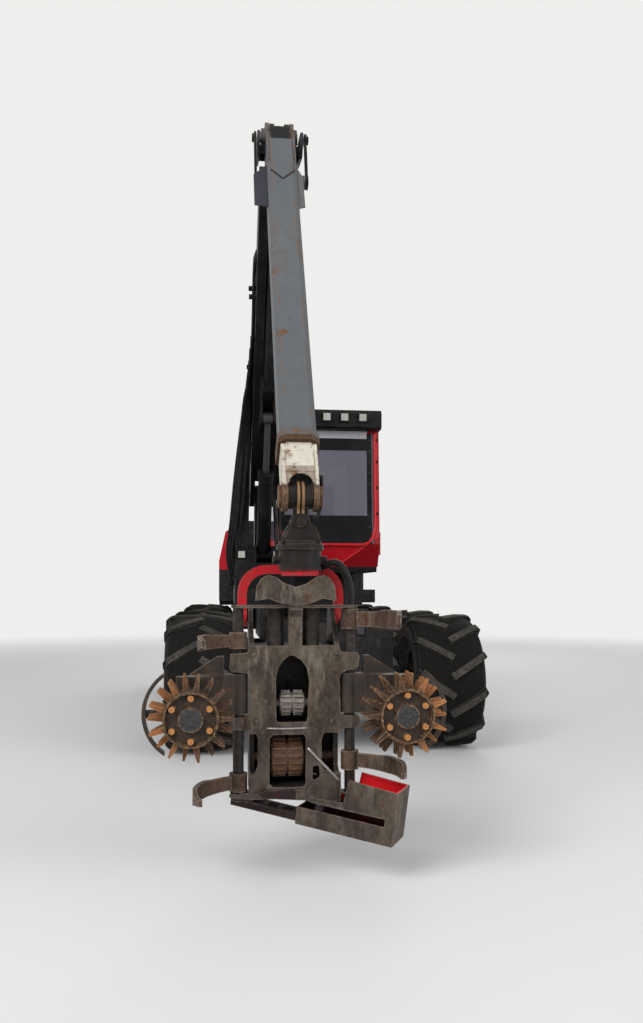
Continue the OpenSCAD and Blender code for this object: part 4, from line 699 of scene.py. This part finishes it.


# Hoses, pipes and rails along the crane: their radii, and routes through given points
HOSE = 0.014
GUARD = 0.024
SPIRAL_HOSE = 0.020
CLOSE_HOSE = 0.0165
THICK_HOSE = 0.021
TIP_HOSE = 0.009
PIPE = 0.0075
WELD = 0.005
FINE_STEP = 0.012
SPIRAL = dict(wave=0.10, step=FINE_STEP)
SIDES = (("r", -1), ("l", 1))


def flank_hoses():
    """Three hoses along the main boom's outer flank, through its guides."""
    out = -BOOM_SIDE - HOSE - 0.001
    for i, off in enumerate((-0.012, 0.026, 0.064)):
        points = [on_boom(s, off, out) for s in (0.45, 1.2, 2.0, 2.62)] + [on_boom(2.68, off, out + 0.04)]
        hose(f"flank_hose_{i}", points, HOSE, body="boom")


def guarded_hoses():
    """Two hoses in spiral guards on the boom's other flank."""
    out = BOOM_SIDE + GUARD
    for i, off in enumerate((-0.045, 0.012)):
        points = [on_boom(0.30, off, out), on_boom(0.9, off, out), on_boom(1.9, off - 0.01, out),
                  on_boom(2.75, off, out)]
        hose(f"guarded_hose_{i}", points, GUARD, body="boom", **SPIRAL)


def spiral_hoses():
    """A guarded pair under the boom, beside the lift cylinder, and on down to the deck."""
    for i, side in enumerate((0.106, 0.150)):
        low = on_boom(0.55, -0.19, side)
        along = [on_boom(2.35, -0.15, side), on_boom(1.6, -0.188, side), low]
        hose(f"spiral_hose_{i}", along, SPIRAL_HOSE, body="boom", **SPIRAL)
        x = CRANE_X + side
        down = [low, on_boom(0.20, -0.20, side), Vector((x + 0.01, -0.86, 2.42)),
                Vector((x + 0.02, -0.93, 2.12)), Vector((x + 0.03, -0.90, 1.80))]
        hose(f"spiral_foot_{i}", down, SPIRAL_HOSE, between=("platform", "boom", down[3], down[0]), **SPIRAL)


def close_hoses():
    """A close bundle from the boom's flank to the crane's foot."""
    for i in range(5):
        out = 0.026 * i
        points = [on_boom(1.95 - 0.12 * i, -0.08 - 0.012 * i, -BOOM_SIDE - 0.024 - out * 0.3),
                  on_boom(1.20, -0.10 - 0.010 * i, -BOOM_SIDE - 0.028 - out * 0.6),
                  Vector((-0.728 - out, -1.06, 2.72)), Vector((-0.735 - out, -0.90, 2.20)),
                  Vector((-0.740 - out, -0.80, 1.68))]
        hose(f"close_hose_{i}", points, CLOSE_HOSE, between=("platform", "boom", points[-2], points[1]))


def base_hoses():
    """Slack loops from the boom's foot to the deck, four in one layer and three in the next."""
    for i in range(7):
        side = 0.027 * (i % 4)
        back = 0.045 * (i // 4)
        points = [on_boom(1.22 - 0.06 * (i % 2), -0.05 + side, -BOOM_SIDE - 0.022 - back),
                  Vector((-0.735 - side * 0.5 - back, -1.32 + side, 3.16)),
                  Vector((-0.765 - side * 0.9 - back, -1.12 + side, 2.72)),
                  Vector((-0.800 - side - back, -0.95 + side, 2.28)),
                  Vector((-0.835 - side - back, -0.76 + side, 1.95)),
                  Vector((-0.820 - side, -0.60 + side, 1.64))]
        hose(f"base_hose_{i}", points, THICK_HOSE, between=("platform", "boom", points[-2], points[0]))


def stick_hoses():
    """Three hoses along the outer boom's inner side, out of its tube and back into it."""
    inside, outside = -0.105, -STICK_FRONT - HOSE
    for i in range(3):
        side = -0.066 + 0.030 * i
        route = ((1.02, inside), (1.10, outside), (2.0, outside), (2.90, outside), (2.97, inside))
        hose(f"stick_hose_{i}", [on_stick(s, off, side) for s, off in route], HOSE, body="stick")


def tip_hoses():
    """Three thin hoses from the telescope's end to the hanger, and on to the rotator."""
    for i in range(3):
        off = 0.026 * (i - 1)
        start = on_stick(3.22, off, 0.100)
        y = STICK_TIP.y + off
        points = [start, Vector((-0.445, start.y - 0.09, start.z - 0.14)), Vector((-0.436, y + 0.02, 2.235)),
                  Vector((-0.438, y + 0.01, 2.10)), Vector((-0.455, y, 2.02)), Vector((-0.500, y, 1.985))]
        hose(f"tip_hose_{i}", points, TIP_HOSE, between=("inner_stick", "hanger", points[1], points[4]))


def head_hoses():
    """A thick pair that loops from the yoke to the head."""
    route = ((-0.435, -4.90, 1.715), (-0.350, -4.92, 1.748), (-0.290, -4.93, 1.68), (-0.266, -4.94, 1.55),
             (-0.300, -4.95, 1.42), (-0.370, -4.95, 1.33), (-0.385, -4.96, 1.285))
    for i in range(2):
        off = 0.04 * i
        points = [Vector((x, y - off, z)) for x, y, z in route]
        hose(f"head_hose_{i}", points, THICK_HOSE, between=("head_yoke", "head", points[2], points[5]))


def rotator_pipes():
    """Bent pipes at both sides of the rotator's neck."""
    route = ((0.098, -5.06, 1.850), (0.100, -5.065, 1.885), (0.086, -5.055, 1.925), (0.060, -5.045, 1.960))
    for name, side in SIDES:
        points = [Vector((CRANE_X + side * x, y, z)) for x, y, z in route]
        hose(f"rotator_pipe_{name}", points, PIPE, body="rotator_body", kind="soiled")


def tip_rails():
    """Two rails that lead the hoses over the tip pin: an arc round it, and a straight end."""
    out, bend = 0.013, 0.080
    for name, side in SIDES:
        points = [STICK_TIP + bend * Vector((0, -math.cos(a), math.sin(a))) + Vector((side * out, 0, 0))
                  for a in map(math.radians, (80, 60, 40, 20, 0, -20, -40, -58))]
        points += [Vector((CRANE_X + side * out, y, z)) for y, z in ((-5.036, 2.030), (-5.038, 2.000))]
        hose(f"tip_rail_{name}", points, TIP_HOSE, body="hanger", kind="rail_rust", step=FINE_STEP)


flank_hoses()
guarded_hoses()
spiral_hoses()
close_hoses()
base_hoses()
stick_hoses()
tip_hoses()
head_hoses()
rotator_pipes()
tip_rails()


# Trim of the telescope's fork and the outer boom
def fork_shade_wall():
    """Dark inner wall of the telescope's fork: painted shade in the fork's opening."""
    low, high, half = -0.045, 0.090, 0.072
    outline = [on_stick(3.377, off, x) for off, x in ((low, -half), (low, half), (high, half), (high, -half))]
    plate("fork_shade_wall", outline, on_stick(0.005) - on_stick(0), "soiled", "inner_stick", "boom_white")


def fork_arch():
    """Round arch at the top of the fork's opening."""
    half, bend, top, spring = 0.078, 0.066, 3.372, 3.462
    turns = [math.pi * k / 12 for k in range(13)]
    outline = [(-half, top), (half, top), (half, spring)]
    outline += [(bend * math.cos(a), spring - bend * math.sin(a)) for a in turns]
    outline += [(-half, spring)]
    plate("fork_arch", [on_stick(s, 0.0945, x) for x, s in outline], on_stick(0, 0.009) - on_stick(0, 0),
          "cream", "inner_stick", "boom_white")


def boom_trim(name, side, outer, kind):
    """A weld bead on the outer boom's front, and a bracket plate beside the link bars."""
    bead = [on_stick(0.60, STICK_FRONT, side * 0.085), on_stick(0.70, STICK_FRONT, side * 0.004)]
    hose(f"boom_weld_{name}", bead, 0.006, body="stick", kind="crane", slot="boom_grey")
    inner, height = side * (STICK_HALF - 0.004), 0.070
    corners = ((0.47, inner), (0.60, outer), (0.95, outer), (0.97, inner))
    outline = [on_stick(s, height, x) for s, x in corners]
    plate(f"link_bracket_{name}", outline, on_stick(0, 0.012) - on_stick(0, 0), kind, "stick", "boom_grey")


fork_shade_wall()
fork_arch()
boom_trim("l", 1, 0.154, "grey")
boom_trim("r", -1, -0.210, "slate")

# Cab front: strip, blind, lower band, borders with bolts, and the red hoop round the windscreen
SCREEN_LEAN = 0.070 / (WALL_TOP_Z - SILL_Z)
GLASS_OUT = 0.0135
SCREEN_X0, SCREEN_X1 = -0.320, 0.690
SCREEN_LOW, SCREEN_HIGH = 2.106, 3.376
CAB_TRIM = dict(body="platform", slot="crane_black")


def on_screen(x, z, off=0.0):
    """A point that lies off in front of the windscreen."""
    return Vector((x, CAB_Y + (z - SILL_Z) * SCREEN_LEAN - GLASS_OUT - off, z))


def screen_panel(name, x0, x1, z0, z1, kind, thick=0.004):
    """A thin panel on the windscreen."""
    outline = [on_screen(x0, z0), on_screen(x1, z0), on_screen(x1, z1), on_screen(x0, z1)]
    return plate(name, outline, (0, -thick, 0), kind, **CAB_TRIM)


def screen_panels():
    """Pale strip, blind and band across the windscreen, and its borders with their bolts."""
    for name, z0, z1, kind in (("strip", 3.312, 3.398, "strip"), ("blind", 3.175, 3.309, "roof"),
                               ("band", 2.112, 2.425, "roof")):
        screen_panel(f"screen_{name}", SCREEN_X0, SCREEN_X1 - 0.03, z0, z1, kind)
    border = dict(z0=SCREEN_LOW, z1=SCREEN_HIGH, kind="roof", thick=0.006)
    screen_panel("screen_border_l", SCREEN_X1 - 0.034, SCREEN_X1 + 0.020, **border)
    screen_panel("screen_border_r", SCREEN_X0 - 0.010, SCREEN_X0 + 0.030, **border)
    columns = (SCREEN_X0 + 0.01, SCREEN_X1 - 0.006)
    places = [on_screen(x, 2.17 + 0.125 * k, 0.006) for k in range(10) for x in columns]
    bolts("screen_bolts", places, (0, -1, 0), 0.007, 0.006, "rim", **CAB_TRIM)


def screen_hoop():
    """Red hoop round the windscreen in two halves, with four clips at its outer side."""
    lift = 0.004
    for name, side_x, turn in (("l", 0.745, -1), ("r", -0.345, 1)):
        upright = [(0, 3.385), (0, 3.0), (0, 2.6), (0, 2.34)]
        bend = [(0.012, 2.24), (0.040, 2.155), (0.100, 2.106)]
        foot = [(0.17, 2.094), (0.35, 2.094), (0.55, 2.094)]
        points = [on_screen(side_x + turn * a, z, lift) for a, z in upright + bend + foot]
        hose(f"screen_hoop_{name}", points, 0.017, body="platform", kind="red", slot="red_paint")
    clips = [on_screen(0.763, z) for z in (2.45, 2.75, 3.05, 3.3)]
    bolts("hoop_clips", clips, (1, -0.2, 0), 0.016, 0.02, "roof", **CAB_TRIM)


screen_panels()
screen_hoop()


# Lamps and the head's plate
def lenses(group, middles, half, kind, body):
    """Square lenses of one group of lamps, where middles are those of the lamps' fronts."""
    thick = 0.004
    for i, (x, y, z) in enumerate(middles):
        outline = [(x + a * half, y - thick, z + b * half) for a, b in ((-1, -1), (-1, 1), (1, 1), (1, -1))]
        plate(f"lens_{group}_{i}", outline, (0, thick, 0), kind, body, "glass")


def head_trim():
    """Scratched rod, weld beads and bolts on the head's front plate."""
    on_head = dict(body="head", slot="head_steel")
    rod = [on_face(x, z, 0.016) for x, z in ((0.070, 0.716), (0.165, 0.615), (0.250, 0.526))]
    hose("head_rod", rod, 0.008, kind="bright", **on_head)
    upper = [on_face(-0.160, 0.826), on_face(-0.05, 0.822), on_face(0.075, 0.824)]
    hose("head_weld_0", upper, WELD, kind="bright", **on_head)
    lower = [on_face(0.075, 0.573, 0.001), on_face(0.120, 0.566, 0.001)]
    hose("head_weld_1", lower, WELD, kind="head", **on_head)
    places = ((-0.160, 0.972), (0.108, 0.972), (-0.160, 0.915), (0.112, 0.915),
              (-0.228, 1.235), (0.232, 1.235), (0.205, 0.862), (-0.210, 0.862))
    bolts("head_bolts", [on_face(x, z, 0.0) for x, z in places], (0, -1, 0), 0.011, 0.010, "head", **on_head)


CAB_XM = (CAB_X0 + CAB_X1) / 2
ROOF_LAMPS = [(CAB_XM + x, -0.2992, 3.5228) for x in (-0.0425, 0.1575, 0.3655)]
FOOT_LAMPS = [(CRANE_X + x, -0.9002, DECK_TOP + 0.3675) for x in (-0.2325, 0.1325)]
NOSE_LAMPS = [(x, -2.0052, 1.204) for x in (-0.280, 0.280)]
lenses("roof", ROOF_LAMPS, 0.040, "lamp", "platform")
lenses("foot", FOOT_LAMPS, 0.034, "lamp", "platform")
lenses("nose", NOSE_LAMPS, 0.033, "glass_dark", "front_chassis")
head_trim()

# Light, floor and camera
BACKGROUND = (0.86, 0.86, 0.85)
MIDDLE = (-0.2, -2.0, 2.0)
FLOOR_HALF = 60
FADE_START, FADE_END = 8.0, 22.0


def area(name, place, size, power):
    """A square lamp that looks at the machine's middle."""
    data = bpy.data.lights.new(name, "AREA")
    data.shape = "SQUARE"
    data.size = size
    data.energy = power
    lamp = bpy.data.objects.new(name, data)
    lamp.location = place
    lamp.rotation_euler = (Vector(MIDDLE) - Vector(place)).to_track_quat("-Z", "Y").to_euler()
    bpy.context.scene.collection.objects.link(lamp)


def studio_world():
    """Soft light from all round; camera, see-through and mirrored rays meet the plain background."""
    world = bpy.data.worlds.new("studio")
    bpy.context.scene.world = world
    world.use_nodes = True
    nodes, links = world.node_tree.nodes, world.node_tree.links
    soft = nodes["Background"]
    soft.inputs["Color"].default_value = (0.92, 0.93, 0.95, 1)
    soft.inputs["Strength"].default_value = 0.42
    seen = nodes.new("ShaderNodeBackground")
    seen.inputs["Color"].default_value = (*BACKGROUND, 1)
    seen.inputs["Strength"].default_value = 1.0
    ray = nodes.new("ShaderNodeLightPath")
    direct = nodes.new("ShaderNodeMath")
    direct.operation = "MAXIMUM"
    links.new(ray.outputs["Is Camera Ray"], direct.inputs[0])
    links.new(ray.outputs["Is Transmission Ray"], direct.inputs[1])
    mirrored = nodes.new("ShaderNodeMath")
    mirrored.operation = "MAXIMUM"
    links.new(ray.outputs["Is Glossy Ray"], mirrored.inputs[0])
    links.new(direct.outputs[0], mirrored.inputs[1])
    pick = nodes.new("ShaderNodeMixShader")
    links.new(mirrored.outputs[0], pick.inputs["Fac"])
    links.new(soft.outputs[0], pick.inputs[1])
    links.new(seen.outputs[0], pick.inputs[2])
    links.new(pick.outputs[0], nodes["World Output"].inputs["Surface"])


def floor_material():
    """Takes the shadow near the machine and fades into the background further out."""
    t = Tree("pale_floor")
    t.look((0.74, 0.74, 0.73), 0.9)
    glow = t.nodes.new("ShaderNodeEmission")
    glow.inputs["Color"].default_value = (*BACKGROUND, 1)
    seen_by = t.nodes.new("ShaderNodeLightPath").outputs["Is Camera Ray"]
    fade = t.both(t.ramp(t.radius((0, 0, 0), (1, 1, 0)), FADE_START, FADE_END), seen_by)
    blend = t.nodes.new("ShaderNodeMixShader")
    t.links.new(fade, blend.inputs["Fac"])
    t.links.new(t.shader.outputs[0], blend.inputs[1])
    t.links.new(glow.outputs[0], blend.inputs[2])
    t.links.new(blend.outputs[0], t.nodes["Material Output"].inputs["Surface"])
    return t.mat


area("key", (-8.0, -13.0, 10.0), 7.0, 1500)
area("fill", (9.0, -11.0, 6.0), 8.0, 650)
area("back", (3.0, 11.0, 9.0), 8.0, 600)
studio_world()

ground = bpy.data.meshes.new("floor")
corners = [(FLOOR_HALF * a, FLOOR_HALF * b, 0) for a, b in ((-1, -1), (1, -1), (1, 1), (-1, 1))]
ground.from_pydata(corners, [], [(0, 1, 2, 3)])
floor = bpy.data.objects.new("floor", ground)
bpy.context.scene.collection.objects.link(floor)
ground.materials.append(floor_material())

# The photo's camera: it looks level, so the horizon's height in the picture is its shift
PHOTO_H = 1023
FOCAL_PX = 860.0
HORIZON_PX = 588.0
EYE = (-1.01, -9.875, 1.6)
EYE_TURN = math.radians(-6.7)
cam = bpy.data.cameras.new("camera")
cam.sensor_width = 36.0
cam.lens = FOCAL_PX * cam.sensor_width / PHOTO_H
cam.shift_y = (HORIZON_PX - PHOTO_H / 2) / PHOTO_H
cam.clip_end = 200.0
eye = bpy.data.objects.new("camera", cam)
eye.location = EYE
eye.rotation_euler = (math.radians(90), 0, EYE_TURN)
bpy.context.scene.collection.objects.link(eye)
bpy.context.scene.camera = eye
bpy.context.scene.view_settings.view_transform = "Standard"
